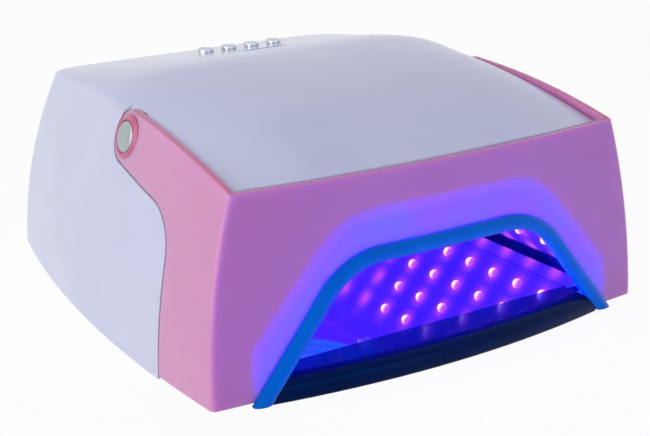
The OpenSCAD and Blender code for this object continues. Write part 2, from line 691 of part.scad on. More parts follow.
// Diode places on the right panel: s runs up the slope from the floor line
led_y0 = 32;
led_s0 = panel_low_s + 6;
module on_panel(s, y) translate([panel_foot, y, 0])
    rotate([0, panel_slope, 0]) translate([-s, 0, 0]) children();
module each_led() for (i = [0:led_columns - 1]) for (j = [0:led_rows - 1])
    on_panel(led_s0 + j * led_pitch_s, led_y0 + i * led_pitch_y) children();
module reflector() color([0.8, 0.8, 0.9]) placed() difference() {
    front_prism(liner_front_y, chamber_d + liner_t) liner_profile(liner_t);
    front_prism(0, chamber_d) liner_profile(0);
    front_prism(0, chamber_d) translate([-liner_x, block_top - 5]) square([2 * liner_x, 6]);
    both() each_led() cylinder(r = led_d / 2 + 0.15, h = 4 * liner_t, center = true);
}
module led_board() {
    margin = 7;
    on_panel(led_s0 + (led_rows - 1) * led_pitch_s + margin,
        led_y0 - margin) translate([0, 0, liner_t + 0.1])
        cube([(led_rows - 1) * led_pitch_s + 2 * margin,
            (led_columns - 1) * led_pitch_y + 2 * margin, board_t]);
}
module led_board_left() color(board_green) placed() mirror([1, 0, 0]) led_board();
module led_board_right() color(board_green) placed() led_board();
module led_lens() {
    stem = liner_t + 0.1;
    translate([0, 0, -0.2]) cylinder(r = led_d / 2, h = stem + 0.2, $fn = 24);
    intersection() {
        translate([0, 0, 0.3]) sphere(r = led_d / 2, $fn = 24);
        translate([0, 0, -led_d]) cylinder(r = led_d, h = led_d, $fn = 24);
    }
}
module led_lenses_left() color([0.8, 0.75, 1]) placed() mirror([1, 0, 0]) each_led() led_lens();
module led_lenses_right() color([0.8, 0.75, 1]) placed() each_led() led_lens();

// Coiled tube under the chamber's ceiling, on a bar with a rubber boot at each end
tube_y = 96;
bar_t = 2.4;
bar_w = 12;
bar_low = ceiling_z - bar_t - 0.05;
tube_z = bar_low - fit_gap - tube_d / 2;
tube_r0 = 11;
tube_r1 = tube_r0 + tube_turns * tube_pitch;
module tube_holder() color([0.93, 0.93, 0.95]) placed()
    translate([-tube_r1 - 10, tube_y - bar_w / 2, bar_low])
        cube([2 * tube_r1 + 20, bar_w, bar_t]);
steps_per_turn = 24;
coil_n = steps_per_turn * tube_turns;
function coil_r(i) = mix(tube_r0, tube_r1, i / coil_n);
function coil_point(i) = let (a = 360 * i / steps_per_turn)
    [coil_r(i) * cos(a), tube_y + coil_r(i) * sin(a), tube_z];
function coil_dir(i) = let (
    a = 360 * i / steps_per_turn,
    dr = tube_pitch / (2 * PI),
    v = [dr * cos(a) - coil_r(i) * sin(a), dr * sin(a) + coil_r(i) * cos(a), 0])
    v / norm(v);
// The ends run straight into their boots
tube_start = coil_point(0) - tube_d * coil_dir(0);
tube_end = coil_point(coil_n) + tube_d * coil_dir(coil_n);
coil_gap = min([for (i = [0:coil_n]) for (j = [i + steps_per_turn / 2:coil_n])
    norm(coil_point(j) - coil_point(i)) - tube_d]);
echo(least_gap_between_turns = coil_gap);
tube_sides = 6;
function tube_ring(p, t) = [for (k = [0:tube_sides - 1]) let (a = 360 * k / tube_sides)
    p + tube_d / 2 * (cos(a) * [t.y, -t.x, 0] + [0, 0, sin(a)])];
module coil_tube() color([0.95, 0.93, 1]) placed() {
    rings = concat([tube_ring(tube_start, coil_dir(0))],
        [for (i = [0:coil_n]) tube_ring(coil_point(i), coil_dir(i))],
        [tube_ring(tube_end, coil_dir(coil_n))]);
    ring_stack(rings, tube_start, tube_end);
}
module tube_boots() color([0.12, 0.12, 0.13]) placed() {
    boot = tube_d + 2;
    for (end = [[tube_start, -coil_dir(0)], [tube_end, coil_dir(coil_n)]])
        translate([end[0].x, end[0].y, bar_low - boot]) rotate([0, 0, atan2(end[1].y, end[1].x)])
            translate([0.05, -boot / 2, 0]) cube([tube_d, boot, boot]);
}

// Boards above the reflector
liner_roof = ceiling_z + liner_t;
ballast_w = 76;
ballast_d = 34;
ballast_y = 40;
core_w = 28;
core_d = 20;
core_h = 9;
module ballast_board() color(board_green) placed()
    translate([-ballast_w / 2, ballast_y, liner_roof + fit_gap])
        cube([ballast_w, ballast_d, board_t]);
module transformer() color([0.9, 0.75, 0.2]) placed()
    translate([-core_w / 2, ballast_y + (ballast_d - core_d) / 2, liner_roof + fit_gap + board_t])
        cube([core_w, core_d, core_h]);
module control_board() color(board_green) placed() difference() {
    translate([-board_hole.x - 6, board_y - board_hole.y - 8, board_z])
        cube([2 * board_hole.x + 12, 2 * board_hole.y + 18, board_t]);
    for (sx = [-1, 1]) for (sy = [-1, 1])
        translate([sx * board_hole.x, board_y + sy * board_hole.y, 0]) cylinder(r = 1.4, h = big);
}
switch_w = 6;
switch_top = stem_z - 1 - button_travel;
module button_switches() color([0.15, 0.15, 0.16]) placed()
    for (i = [0:3]) translate([button_x(i), button_y, board_z + board_t]) {
        translate([-switch_w / 2, -switch_w / 2, 0])
            cube([switch_w, switch_w, (switch_top - board_z - board_t) * 0.75]);
        cylinder(r = 1.6, h = switch_top - board_z - board_t);
    }
module display_module() color([0.08, 0.08, 0.1]) placed()
    translate([-window_w / 2 + 1, window_y - window_d / 2 + 0.5, board_z + board_t])
        cube([window_w - 2, window_d - 1, roof_z(0, window_y) - 2 * wall - 3 - board_z]);
module display_window() color([0.3, 0.4, 0.9, 0.7]) placed() on_window() {
    translate([-window_w / 2, -window_d / 2, -wall - fit_gap - 0.1])
        cube([window_w, window_d, wall + fit_gap + 0.3]);
    translate([-window_w / 2 - 1.5, -window_d / 2 - 1.5, -wall - fit_gap - 1])
        cube([window_w + 3, window_d + 3, 1]);
}
module push_button(i) translate([button_x(i), button_y, 0]) rotate_extrude() {
    edge = 0.5;
    top = roof_here + button_out;
    flange_top = guide_z - 0.15;
    flange_r = guide_r - 0.4;
    pin_r = 1.6;
    polygon([[0, stem_z - 0.8], [pin_r, stem_z - 0.8], [pin_r, stem_z], [flange_r, stem_z],
        [flange_r, flange_top], [button_d / 2, flange_top], [button_d / 2, top - edge],
        [button_d / 2 - edge, top], [0, top]]);
}
module time_button_short() color(silver) placed() push_button(0);
module time_button_medium() color(silver) placed() push_button(1);
module time_button_long() color(silver) placed() push_button(2);
module power_button() color(silver) placed() push_button(3);

module power_jack() color([0.1, 0.1, 0.11]) placed()
    translate([jack_x, jack_y - 1.2, jack_z]) rotate([90, 0, 0]) {
        difference() {
            union() {
                cylinder(r = jack_body_r, h = 14);
                translate([0, 0, wall + fit_gap + 0.5]) cylinder(r = jack_body_r + 2.4, h = 2);
            }
            translate([0, 0, -1]) cylinder(r = jack_d / 2, h = 10.5);
        }
        translate([0, 0, 1]) cylinder(r = 1.05, h = 9);
    }

// Tray: lip, floor with a recess for the mirror, and a tongue along each side
lip_end_gap = 0.8;
lip_low = -1;
leg_run = (arch_foot - arch_shoulder) / arch_h;
function lip_half(z) = arch_foot - z * leg_run - trim_w / sin(atan(1 / leg_run)) - lip_end_gap;
tray_rear = chamber_d - 5;
lip_back = face_y(tray_half_w, 0) + inner_front + fit_gap - slide_gap - 0.5;
module tray() color(navy) placed() difference() {
    union() {
        translate([-tray_half_w, lip_back - 1, tongue_z])
            cube([2 * tray_half_w, tray_rear - lip_back + 1, floor_z - tongue_z]);
        translate([-tongue_x, front_floor_y + 2, tongue_z])
            cube([2 * tongue_x, tray_rear - front_floor_y - 2, tongue_t]);
        lip();
    }
    translate([-tray_half_w - 1, front_floor_y, floor_z - mirror_t - 0.1])
        cube([2 * tray_half_w + 2, tray_rear - front_floor_y - 3, 2 * mirror_t]);
    translate([-tray_half_w + 5, front_floor_y + 3, -big / 2])
        cube([2 * tray_half_w - 10, tray_rear - front_floor_y - 9, big / 2 + floor_z - mirror_t - 2]);
}
// The lip is bowed in plan, its front edge is rounded and its ends lean with the arch
module lip() {
    cy = lip_plan_r - lip_out;
    intersection() {
        union() {
            translate([0, cy, 0]) rotate_extrude($fn = 360) translate([-lip_plan_r, 0])
                union() {
                    difference() {
                        translate([0, lip_low]) square([lip_out * 2.4, floor_z - lip_low]);
                        translate([0, floor_z - lip_r]) square(lip_r);
                    }
                    translate([lip_r, floor_z - lip_r]) circle(r = lip_r, $fn = 64);
                }
        }
        front_prism(-big / 4, lip_back) polygon([
            [-lip_half(lip_low - 1), lip_low - 1], [lip_half(lip_low - 1), lip_low - 1],
            [lip_half(floor_z + 1), floor_z + 1], [-lip_half(floor_z + 1), floor_z + 1]]);
    }
}
module tray_mirror() color([0.75, 0.78, 0.95]) placed()
    translate([-tray_half_w, front_floor_y + 0.1, floor_z - mirror_t])
        cube([2 * tray_half_w, tray_rear - front_floor_y - 3.2, mirror_t]);

top_shell();
base_frame();
tray_rail_left();
tray_rail_right();
side_mirrors();
reflector();
led_board_left();
led_board_right();
led_lenses_left();
led_lenses_right();
tube_holder();
coil_tube();
tube_boots();
ballast_board();
transformer();
control_board();
button_switches();
display_module();
display_window();
time_button_short();
time_button_medium();
time_button_long();
power_button();
power_jack();
hinge_screws();
base_screws();
rubber_feet();
visor();
visor_trim();
hinge_cap_left();
hinge_cap_right();
tray();
tray_mirror();
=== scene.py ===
import bpy
import bmesh
import math
from mathutils import Matrix, Vector, noise
from mathutils.bvhtree import BVHTree
from mathutils.geometry import delaunay_2d_cdt


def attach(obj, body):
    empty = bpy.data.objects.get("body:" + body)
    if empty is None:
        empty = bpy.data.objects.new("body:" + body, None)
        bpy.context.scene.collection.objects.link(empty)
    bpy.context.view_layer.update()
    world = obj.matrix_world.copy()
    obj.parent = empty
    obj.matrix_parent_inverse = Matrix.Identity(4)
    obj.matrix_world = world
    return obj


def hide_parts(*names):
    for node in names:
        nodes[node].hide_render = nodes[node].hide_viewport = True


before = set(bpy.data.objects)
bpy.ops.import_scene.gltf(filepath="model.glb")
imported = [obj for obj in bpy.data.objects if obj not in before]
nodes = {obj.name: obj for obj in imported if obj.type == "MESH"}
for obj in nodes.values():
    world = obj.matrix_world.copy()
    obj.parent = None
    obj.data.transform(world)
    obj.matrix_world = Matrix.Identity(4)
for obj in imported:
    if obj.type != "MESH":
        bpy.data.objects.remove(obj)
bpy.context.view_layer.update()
scene = bpy.context.scene

# Sizes in millimetres and degrees. x = 0 is the middle, y = 0 the front's lower edge and z = 0
# the visor's lower edge. P turns such a place into the frame's metres.
MM = 0.001
SHELL_Z = -1.0  # lower edge of the housing
STAND_H = 2.0  # height of z = 0 over the table

# Housing
HALF_W = 113.0
DEPTH = 237.0
WALL = 2.5
BELLY_Y = 42.0  # where the sides stand out most
PLAN_R = 675.0  # curve of the sides seen from above
SIDE_R = 270.0  # curve of the sides seen from the front
FACE_LEAN = 5.0
FACE_BOW = 5.1  # how far the front stands out at its middle
REAR_LEAN = 6.9
REAR_R = 270.0  # upright curve of the rear wall
REAR_BOW = 3.3
REAR_CORNER = 21.0
REAR_CORNER_AT = 0.7  # share of the half width where the rear wall sets the corners' depth
FRONT_CORNER = 2.5
TOP_EDGE = 3.0
FRONT_EDGE = 0.8  # rounding of the top edge along the front
LEVEL_MOST = 76.0  # rings of the sides are level up to here and follow the roof's edge above

# Roof
CREST_Y = 108.0
CREST_Z = 96.6  # height of the roof's side edge at the crest
CROWN = 11.0  # height of the roof's middle over its side edge
CROWN_START = 7.0  # where the roof starts to rise over its side edge
CREST_SOFT = 12.0  # softness of the change at the crest
FRONT_FALL = 408.0  # curve of the side edge before the crest
REAR_FALL = 620.0  # and behind it
SHOULDER_FRONT = 4.5  # power of the roof's cross curve: the higher, the fuller
SHOULDER_REAR = 6.0
SHOULDER_CHANGE = 40.0  # length behind the pivot over which it changes
ARM_STEP_FRONT = 4.8  # height of the visor's arms over the roof beside them
ARM_STEP_REAR = 2.4
ARM_STEP_FADE = 28.0  # length behind the pivot over which it ends

# Visor and its pivots
VISOR_T = 3.0
VISOR_GAP = 0.4
VISOR_EDGE = 0.8  # rounding of the sheet's rim
VISOR_OPEN = 70.0
PIVOT_Y = 92.0
PIVOT_Z = 85.7
ARM_END = 10.7  # radius of the arm's round end
ARM_REAR = 40.5  # rear edge of the arm's upright part
ARM_BEND = 20.0  # radius of the bend between upright and rising part
ARM_RISE = 9.7  # slope of the rising part
CAP_TILT = 15.0  # how far the caps look up
HUB_STEP = 0.2  # gap round each hub in its pocket
SCREW_HEAD_R = 4.1
BOSS_DEPTH = 6.0  # depth of the block behind each pocket
INSET = VISOR_T + VISOR_GAP
RECESS = ARM_END + VISOR_GAP

# Arch of the visor, its trim, and the housing's opening behind them
ARCH_FOOT = 94.2  # half width at the foot
ARCH_SHOULDER = 51.3  # half width where the legs' lines reach the top
ARCH_H = 53.1
ARCH_R = 39.0  # rounding of the shoulders
TRIM_W = 6.4
TRIM_OUT = 3.6  # how far it stands out from the face
TRIM_LAP = 3.4  # how far it laps onto the visor
TRIM_IN = 1.5  # depth of its lip behind the face
MOUTH_HALF = 91.9  # half width at the foot
MOUTH_H = 66.3
MOUTH_SHOULDER = 50.0
MOUTH_SLOPE = 47.7
MOUTH_R = 43.6
MOUTH_LOW = -6.0

# Chamber: liner, diodes, mirror floor and rails
CHAMBER_D = 192.0
PANEL_SLOPE = 50.3
PANEL_TOP = 50.0
CEILING_Z = 66.0
LINER_T = 1.2
LINER_FRONT = 9.5  # front edge of the liner
LINER_STEP = 3.0  # distance of its points
LINER_ROOM = 2.4  # least gap to the housing's wall
FOLD_R = 9.0
LED_FIRST_S = 28.4  # first row's distance up the slope
LED_STEP_S = 13.5
LED_FIRST_Y = 32.0
LED_STEP_Y = 17.5
FLOOR_Z = 8.0  # top of the mirrors
MIRROR_T = 1.5
RAIL_X = 78.4  # where the strips beside the tray's mirror start
RAIL_LOW = 3.7  # underside of the rails
RAIL_H = 2.6
RAIL_T = 3.4
RIDGES = 3
RIDGE_OUT = 0.4
LIP_OUT = 11.7  # reach of the tray's lip before the front

# Buttons, display window, socket and vents
BUTTON_D = 7.4
BUTTON_PITCH = 12.7
BUTTON_Y = 160.0
BUTTON_TOP = 101.1
BUTTON_FOOT = 92.4  # lower end of the stem, on its switch
WINDOW_W = 22.0
WINDOW_D = 9.5
WINDOW_Y = 141.0
WINDOW_R = 1.2
WINDOW_PROUD = 0.22
HOLE_GAP = 0.2  # round buttons and window
SOCKET_X = -52.0
SOCKET_Z = 16.0
SOCKET_R = 5.6
VENTS = 9
VENT_PITCH = 7.0
VENT_W = 2.0
VENT_LOW = 34.0  # lower and upper end of the vents
VENT_HIGH = 52.0


def sin(a):
    return math.sin(math.radians(a))


def cos(a):
    return math.cos(math.radians(a))


def tan(a):
    return math.tan(math.radians(a))


def mix(a, b, t):
    return a + (b - a) * t


def clamp01(t):
    return max(0.0, min(1.0, t))


def kept_within(v, most):
    return max(-most, min(most, v))


def drop(r, v):
    """Fall of an arc of radius r at the distance v from its top."""
    return r - math.sqrt(r * r - v * v)


# Surfaces of the housing
def side_x(y, z):
    return HALF_W - (y - BELLY_Y) ** 2 / (2 * PLAN_R) - drop(SIDE_R, z)


def face_y(x, z):
    return z * tan(FACE_LEAN) - FACE_BOW * (1 - (x / HALF_W) ** 2)


def rear_y(x, z):
    return DEPTH - drop(REAR_R, z) - z * tan(REAR_LEAN) - REAR_BOW * (x / HALF_W) ** 2


def edge_z(y):
    """Height of the roof's side edge."""
    return CREST_Z - (y - CREST_Y) ** 2 / (2 * (FRONT_FALL if y < CREST_Y else REAR_FALL))


def soft_distance(d):
    """Distance from the crest, rounded off near it."""
    return math.sqrt(d * d + CREST_SOFT ** 2) - CREST_SOFT


MID = (rear_y(0, SHELL_Z) - LIP_OUT) / 2
REAR_EDGE = rear_y(0, edge_z(rear_y(0, CREST_Z)))
REAR_FALL_RATE = (CREST_Z + CROWN - edge_z(REAR_EDGE)) / soft_distance(REAR_EDGE - CREST_Y)
FLANK_SLOPE = math.degrees(math.atan((DEPTH - REAR_CORNER - BELLY_Y) / PLAN_R))
PIVOT_X = side_x(PIVOT_Y, PIVOT_Z)
CAP_TURN = math.atan((PIVOT_Y - BELLY_Y) / PLAN_R)
HUB_IN = side_x(PIVOT_Y, PIVOT_Z + ARM_END) - INSET
POCKET_X = HUB_IN - 0.3
PANEL_FOOT = PANEL_TOP + CEILING_Z / tan(PANEL_SLOPE)
RAIL_WALL = PANEL_FOOT - (FLOOR_Z + RAIL_H) / tan(PANEL_SLOPE) - 0.3
RAIL_INNER = RAIL_WALL - 0.8


def crown_at(y):
    """Height of the roof's middle over its side edge: an arch in front, a straight fall behind."""
    if y < CREST_Y:
        return CROWN * sin(90 * clamp01((y - CROWN_START) / (CREST_Y - CROWN_START))) ** 1.2
    z = CREST_Z + CROWN - REAR_FALL_RATE * soft_distance(y - CREST_Y)
    return max(0.0, z - edge_z(y))


def arm_step(y):
    """Height by which the arms stand above the roof's edge beside them."""
    fade = clamp01((PIVOT_Y + ARM_STEP_FADE - y) / ARM_STEP_FADE)
    return mix(ARM_STEP_FRONT, ARM_STEP_REAR, clamp01(y / PIVOT_Y)) * fade * fade * (3 - 2 * fade)


def roof_z(x, y):
    across = min(1.0, abs(x) / side_x(y, edge_z(y)))
    power = mix(SHOULDER_FRONT, SHOULDER_REAR, clamp01((y - PIVOT_Y) / SHOULDER_CHANGE))
    step = arm_step(y)
    return edge_z(y) - step + (crown_at(y) + step) * (1 - across ** power)


def P(x, y, z):
    return Vector((x * MM, (y - MID) * MM, (z + STAND_H) * MM))


# Edge of the recess that holds the visor's arm, from below: upright, a bend, a rising line, round
# the pivot, and the slanted stop of the open arm. The inner skin's edge is a wall beyond it.
def line_z(beyond):
    return PIVOT_Z - (RECESS + beyond) / cos(ARM_RISE)


def bend_r(beyond):
    return ARM_BEND - beyond


def bend_y(beyond):
    return ARM_REAR + VISOR_GAP + beyond + bend_r(beyond)


def bend_z(beyond):
    under = line_z(beyond) - (PIVOT_Y - bend_y(beyond)) * tan(ARM_RISE)
    return under - bend_r(beyond) / cos(ARM_RISE)


def bend_end(beyond):
    return bend_z(beyond) + bend_r(beyond) * cos(ARM_RISE)


def round_start(beyond):
    return PIVOT_Z - (RECESS + beyond) * cos(ARM_RISE)


def round_end(beyond):
    return PIVOT_Z + (RECESS + beyond) * cos(VISOR_OPEN)


def step_y(z, beyond):
    """Where the recess ends, at a height."""
    if z < bend_z(beyond):
        return ARM_REAR + VISOR_GAP + beyond
    if z < bend_end(beyond):
        return bend_y(beyond) - math.sqrt(max(0.0, bend_r(beyond) ** 2 - (z - bend_z(beyond)) ** 2))
    if z < round_start(beyond):
        return PIVOT_Y - (line_z(beyond) - z) / tan(ARM_RISE)
    if z < round_end(beyond):
        return PIVOT_Y + math.sqrt(max(0.0, (RECESS + beyond) ** 2 - (z - PIVOT_Z) ** 2))
    return PIVOT_Y + (RECESS + beyond) / sin(VISOR_OPEN) - (z - PIVOT_Z) / tan(VISOR_OPEN)


# Outlines
def steps(a, b, n, start, stop):
    """Points start to stop - 1 of the n + 1 that divide the line from a to b."""
    return [(mix(a[0], b[0], i / n), mix(a[1], b[1], i / n)) for i in range(start, stop)]


def arc(cx, cy, r, a0, a1, n):
    return [(cx + r * cos(mix(a0, a1, i / n)), cy + r * sin(mix(a0, a1, i / n)))
            for i in range(n + 1)]


def arch(foot, shoulder, h, r, t, z_low, n=14):
    """Arch with sloping legs and round shoulders, from the right foot, t inside the given one."""
    a = math.degrees(math.atan(h / (foot - shoulder)))
    foot_x = foot - z_low / tan(a) - t / sin(a)
    cx = shoulder - r * tan(a / 2)
    half = [(foot_x, z_low)] + arc(cx, h - r, r - t, 90 - a, 90, n)
    return half + [(-x, z) for x, z in reversed(half)]


def resampled(line, step):
    out = []
    for a, b in zip(line, line[1:]):
        n = max(1, round(math.dist(a, b) / step))
        out += steps(a, b, n, 0, n)
    return out + [line[-1]]


# Mesh helpers
def ring_faces(count, n, start=0, closed=True):
    faces = []
    for k in range(count - 1):
        for i in range(n if closed else n - 1):
            a = start + k * n + i
            b = start + k * n + (i + 1) % n
            faces.append((a, b, b + n, a + n))
    return faces


def end_faces(count, n):
    """Faces that close the first and the last of count rings."""
    return [tuple(range(n))[::-1], tuple(range((count - 1) * n, count * n))]


def mesh_object(name, points, faces, smooth=True):
    mesh = bpy.data.meshes.new(name)
    mesh.from_pydata([tuple(p) for p in points], [], faces)
    mesh.validate()
    mesh.update()
    obj = bpy.data.objects.new(name, mesh)
    scene.collection.objects.link(obj)
    bm = bmesh.new()
    bm.from_mesh(mesh)
    bmesh.ops.recalc_face_normals(bm, faces=bm.faces)
    if bm.calc_volume(signed=True) < 0:
        bmesh.ops.reverse_faces(bm, faces=bm.faces)
    bm.to_mesh(mesh)
    bm.free()
    if smooth:
        shade(obj, 32)
    return obj


def shade(obj, angle):
    """Smooth shading with edges sharper than the angle kept sharp."""
    bm = bmesh.new()
    bm.from_mesh(obj.data)
    limit = math.radians(angle)
    for f in bm.faces:
        f.smooth = True
    for e in bm.edges:
        e.smooth = len(e.link_faces) == 2 and e.calc_face_angle(0) < limit
    bm.to_mesh(obj.data)
    bm.free()


def apply_modifiers(obj):
    graph = bpy.context.evaluated_depsgraph_get()
    mesh = bpy.data.meshes.new_from_object(obj.evaluated_get(graph))
    old = obj.data
    obj.modifiers.clear()
    obj.data = mesh
    bpy.data.meshes.remove(old)


def cut(obj, cutters, operation="DIFFERENCE"):
    for c in cutters:
        m = obj.modifiers.new("cut", "BOOLEAN")
        m.object = c
        m.operation = operation
        m.solver = "EXACT"
    apply_modifiers(obj)
    for c in cutters:
        bpy.data.objects.remove(c)


def normals_from(obj, source, sharp=28):
    """Takes smooth normals from the uncut surface wherever obj still follows it."""
    tree = BVHTree.FromObject(source, bpy.context.evaluated_depsgraph_get())
    src = source.data
    mesh = obj.data
    corner = [n.vector.copy() for n in mesh.corner_normals]
    limit = cos(sharp)
    out = []
    for poly in mesh.polygons:
        fn = poly.normal
        for li in poly.loop_indices:
            p = mesh.vertices[mesh.loops[li].vertex_index].co
            hit, _, face, dist = tree.find_nearest(p + fn * 1e-7)
            best = corner[li]
            if hit is not None and dist < 2e-5:
                near = [src.vertices[v] for v in src.polygons[face].vertices]
                parts = [v.normal / ((v.co - p).length + 1e-6) for v in near]
                blended = sum(parts, Vector((0, 0, 0))).normalized()
                if blended.dot(fn) > limit:
                    best = blended
            out.append(tuple(best))
    mesh.normals_split_custom_set(out)


def prism(name, outline, y0, y1):
    """Front-view outline (x, z) extruded along Y."""
    n = len(outline)
    pts = [P(x, y0, z) for x, z in outline] + [P(x, y1, z) for x, z in outline]
    return mesh_object(name, pts, end_faces(2, n) + ring_faces(2, n), smooth=False)


def lathe(name, profile, place, n=48, smooth=True):
    """Profile of (radius, height) turned about place's Z; place is a 4x4 matrix in mm."""
    pts = []
    for r, h in profile:
        for k in range(n):
            a = 2 * math.pi * k / n
            pts.append(P(*(place @ Vector((r * math.cos(a), r * math.sin(a), h)))))
    rows = len(profile)
    return mesh_object(name, pts, ring_faces(rows, n) + end_faces(rows, n), smooth)


def dress(obj, finish):
    obj.data.materials.clear()
    obj.data.materials.append(finish)


# Material helpers
def new_material(name):
    m = bpy.data.materials.new(name)
    m.use_nodes = True
    t = m.node_tree
    return m, t, t.nodes["Principled BSDF"]


def add(t, kind, **values):
    """New node; each value goes to the node's property or input of that name."""
    n = t.nodes.new(kind)
    for k, v in values.items():
        if hasattr(n, k):
            setattr(n, k, v)
        else:
            n.inputs[k].default_value = v
    return n


def put(t, sockets):
    """Sets each socket to its value, or links it where the value is another socket."""
    for socket, v in sockets:
        if isinstance(v, (int, float, tuple)):
            socket.default_value = v
        else:
            t.links.new(v, socket)


def math_node(t, op, a, b=None, c=None, clamp=False):
    n = add(t, "ShaderNodeMath", operation=op, use_clamp=clamp)
    put(t, [(n.inputs[i], v) for i, v in enumerate((a, b, c)) if v is not None])
    return n.outputs[0]


def mix_color(t, fac, a, b):
    n = add(t, "ShaderNodeMix", data_type="RGBA")
    put(t, [(n.inputs[0], fac), (n.inputs[6], a), (n.inputs[7], b)])
    return n.outputs[2]


def mix_shader(t, fac, a, b, out):
    n = add(t, "ShaderNodeMixShader")
    put(t, [(n.inputs[0], fac), (n.inputs[1], a), (n.inputs[2], b), (out, n.outputs[0])])


def rgb(r, g, b):
    """Colour from the 0 to 255 values that it shows on a screen."""
    def lin(c):
        c /= 255
        return c / 12.92 if c <= 0.04045 else ((c + 0.055) / 1.055) ** 2.4
    return (lin(r), lin(g), lin(b), 1)


def coords(t):
    return add(t, "ShaderNodeTexCoord").outputs["Object"]


def place_mm(t):
    """Object coordinates as x, y, z in millimetres from the front's lower edge."""
    sep = add(t, "ShaderNodeSeparateXYZ")
    t.links.new(coords(t), sep.inputs[0])
    x = math_node(t, "MULTIPLY", sep.outputs[0], 1000.0)
    y = math_node(t, "MULTIPLY_ADD", sep.outputs[1], 1000.0, MID)
    z = math_node(t, "MULTIPLY_ADD", sep.outputs[2], 1000.0, -STAND_H)
    return x, y, z


def cloud(t, scale, detail):
    """Noise from 0 to 1 in the object's own space."""
    tex = add(t, "ShaderNodeTexNoise", Scale=scale, Detail=detail)
    t.links.new(coords(t), tex.inputs["Vector"])
    return tex.outputs["Fac"]


def grain(t, b, scale, strength, distance=0.0001):
    """Fine moulded texture."""
    bump = add(t, "ShaderNodeBump", Strength=strength, Distance=distance)
    t.links.new(cloud(t, scale, 4), bump.inputs["Height"])
    t.links.new(bump.outputs["Normal"], b.inputs["Normal"])


def varied(t, b, c0, c1, scale):
    """Slow colour variation between two near colours."""
    ramp = add(t, "ShaderNodeValToRGB")
    for stop, place, color in zip(ramp.color_ramp.elements, (0.3, 0.7), (c0, c1)):
        stop.position = place
        stop.color = color
    t.links.new(cloud(t, scale, 3), ramp.inputs["Fac"])
    t.links.new(ramp.outputs["Color"], b.inputs["Base Color"])


def plastic(name, c0, c1, rough, scale=30, bump=0.15, bump_scale=2500, coat=0.0):
    m, t, b = new_material(name)
    varied(t, b, c0, c1, scale)
    grain(t, b, bump_scale, bump)
    b.inputs["Roughness"].default_value = rough
    b.inputs["Coat Weight"].default_value = coat
    b.inputs["Coat Roughness"].default_value = 0.08
    return m


def metal(name, c0, c1, rough, scale=60, bump=0.08, bump_scale=1200):
    m, t, b = new_material(name)
    varied(t, b, c0, c1, scale)
    grain(t, b, bump_scale, bump)
    b.inputs["Metallic"].default_value = 1.0
    b.inputs["Roughness"].default_value = rough
    return m


# Light and colour round the opening and the diodes
def mouth_distance(t, x, z):
    """Signed distance outside the housing's front opening, in mm."""
    ax = math_node(t, "ABSOLUTE", x)
    over_top = math_node(t, "SUBTRACT", z, MOUTH_H)
    k = sin(MOUTH_SLOPE)
    beside_leg = math_node(t, "MULTIPLY_ADD", ax, k, -k * MOUTH_SHOULDER)
    beside_leg = math_node(t, "MULTIPLY_ADD", over_top, cos(MOUTH_SLOPE), beside_leg)
    beside_foot = math_node(t, "SUBTRACT", ax, MOUTH_HALF)
    d = math_node(t, "SMOOTH_MAX", over_top, beside_leg, 15.0)
    return math_node(t, "SMOOTH_MAX", d, beside_foot, 5.0)


def to_grid(t, v, first, pitch):
    """Signed distance to the nearest diode along one direction."""
    q = math_node(t, "MULTIPLY_ADD", v, 1 / pitch, -first / pitch + 0.5)
    q = math_node(t, "FRACT", q)
    return math_node(t, "MULTIPLY_ADD", q, pitch, -pitch / 2)


def spot(t, size_s, size_y):
    """Soft spot round each diode on the two slopes: 1 at its middle, falling to 0."""
    x, y, z = place_mm(t)
    ax = math_node(t, "ABSOLUTE", x)
    up_s = math_node(t, "MULTIPLY_ADD", ax, -cos(PANEL_SLOPE), PANEL_FOOT * cos(PANEL_SLOPE))
    up_s = math_node(t, "MULTIPLY_ADD", z, sin(PANEL_SLOPE), up_s)
    ds = math_node(t, "MULTIPLY", to_grid(t, up_s, LED_FIRST_S, LED_STEP_S), 1 / size_s)
    dy = math_node(t, "MULTIPLY", to_grid(t, y, LED_FIRST_Y, LED_STEP_Y), 1 / size_y)
    r2 = math_node(t, "MULTIPLY_ADD", ds, ds, math_node(t, "MULTIPLY", dy, dy))
    near = math_node(t, "POWER", math.e, math_node(t, "MULTIPLY", r2, -1.0))
    on_slope = math_node(t, "MULTIPLY_ADD", z, -1 / 3, (CEILING_Z - 5) / 3, clamp=True)
    before_rear = math_node(t, "MULTIPLY_ADD", y, -1.0, CHAMBER_D - 12, clamp=True)
    return math_node(t, "MULTIPLY", near, math_node(t, "MULTIPLY", on_slope, before_rear))


# Materials
# Deep pink: a random tone in the pink, and the painted shade along the visor's rims.
DEEP_PINK_TONE_AND_RIM_SHADE = rgb(200, 82, 122)
CORNER_FADE = 1.2
PAINTED_GLOW_FADE = 7.0


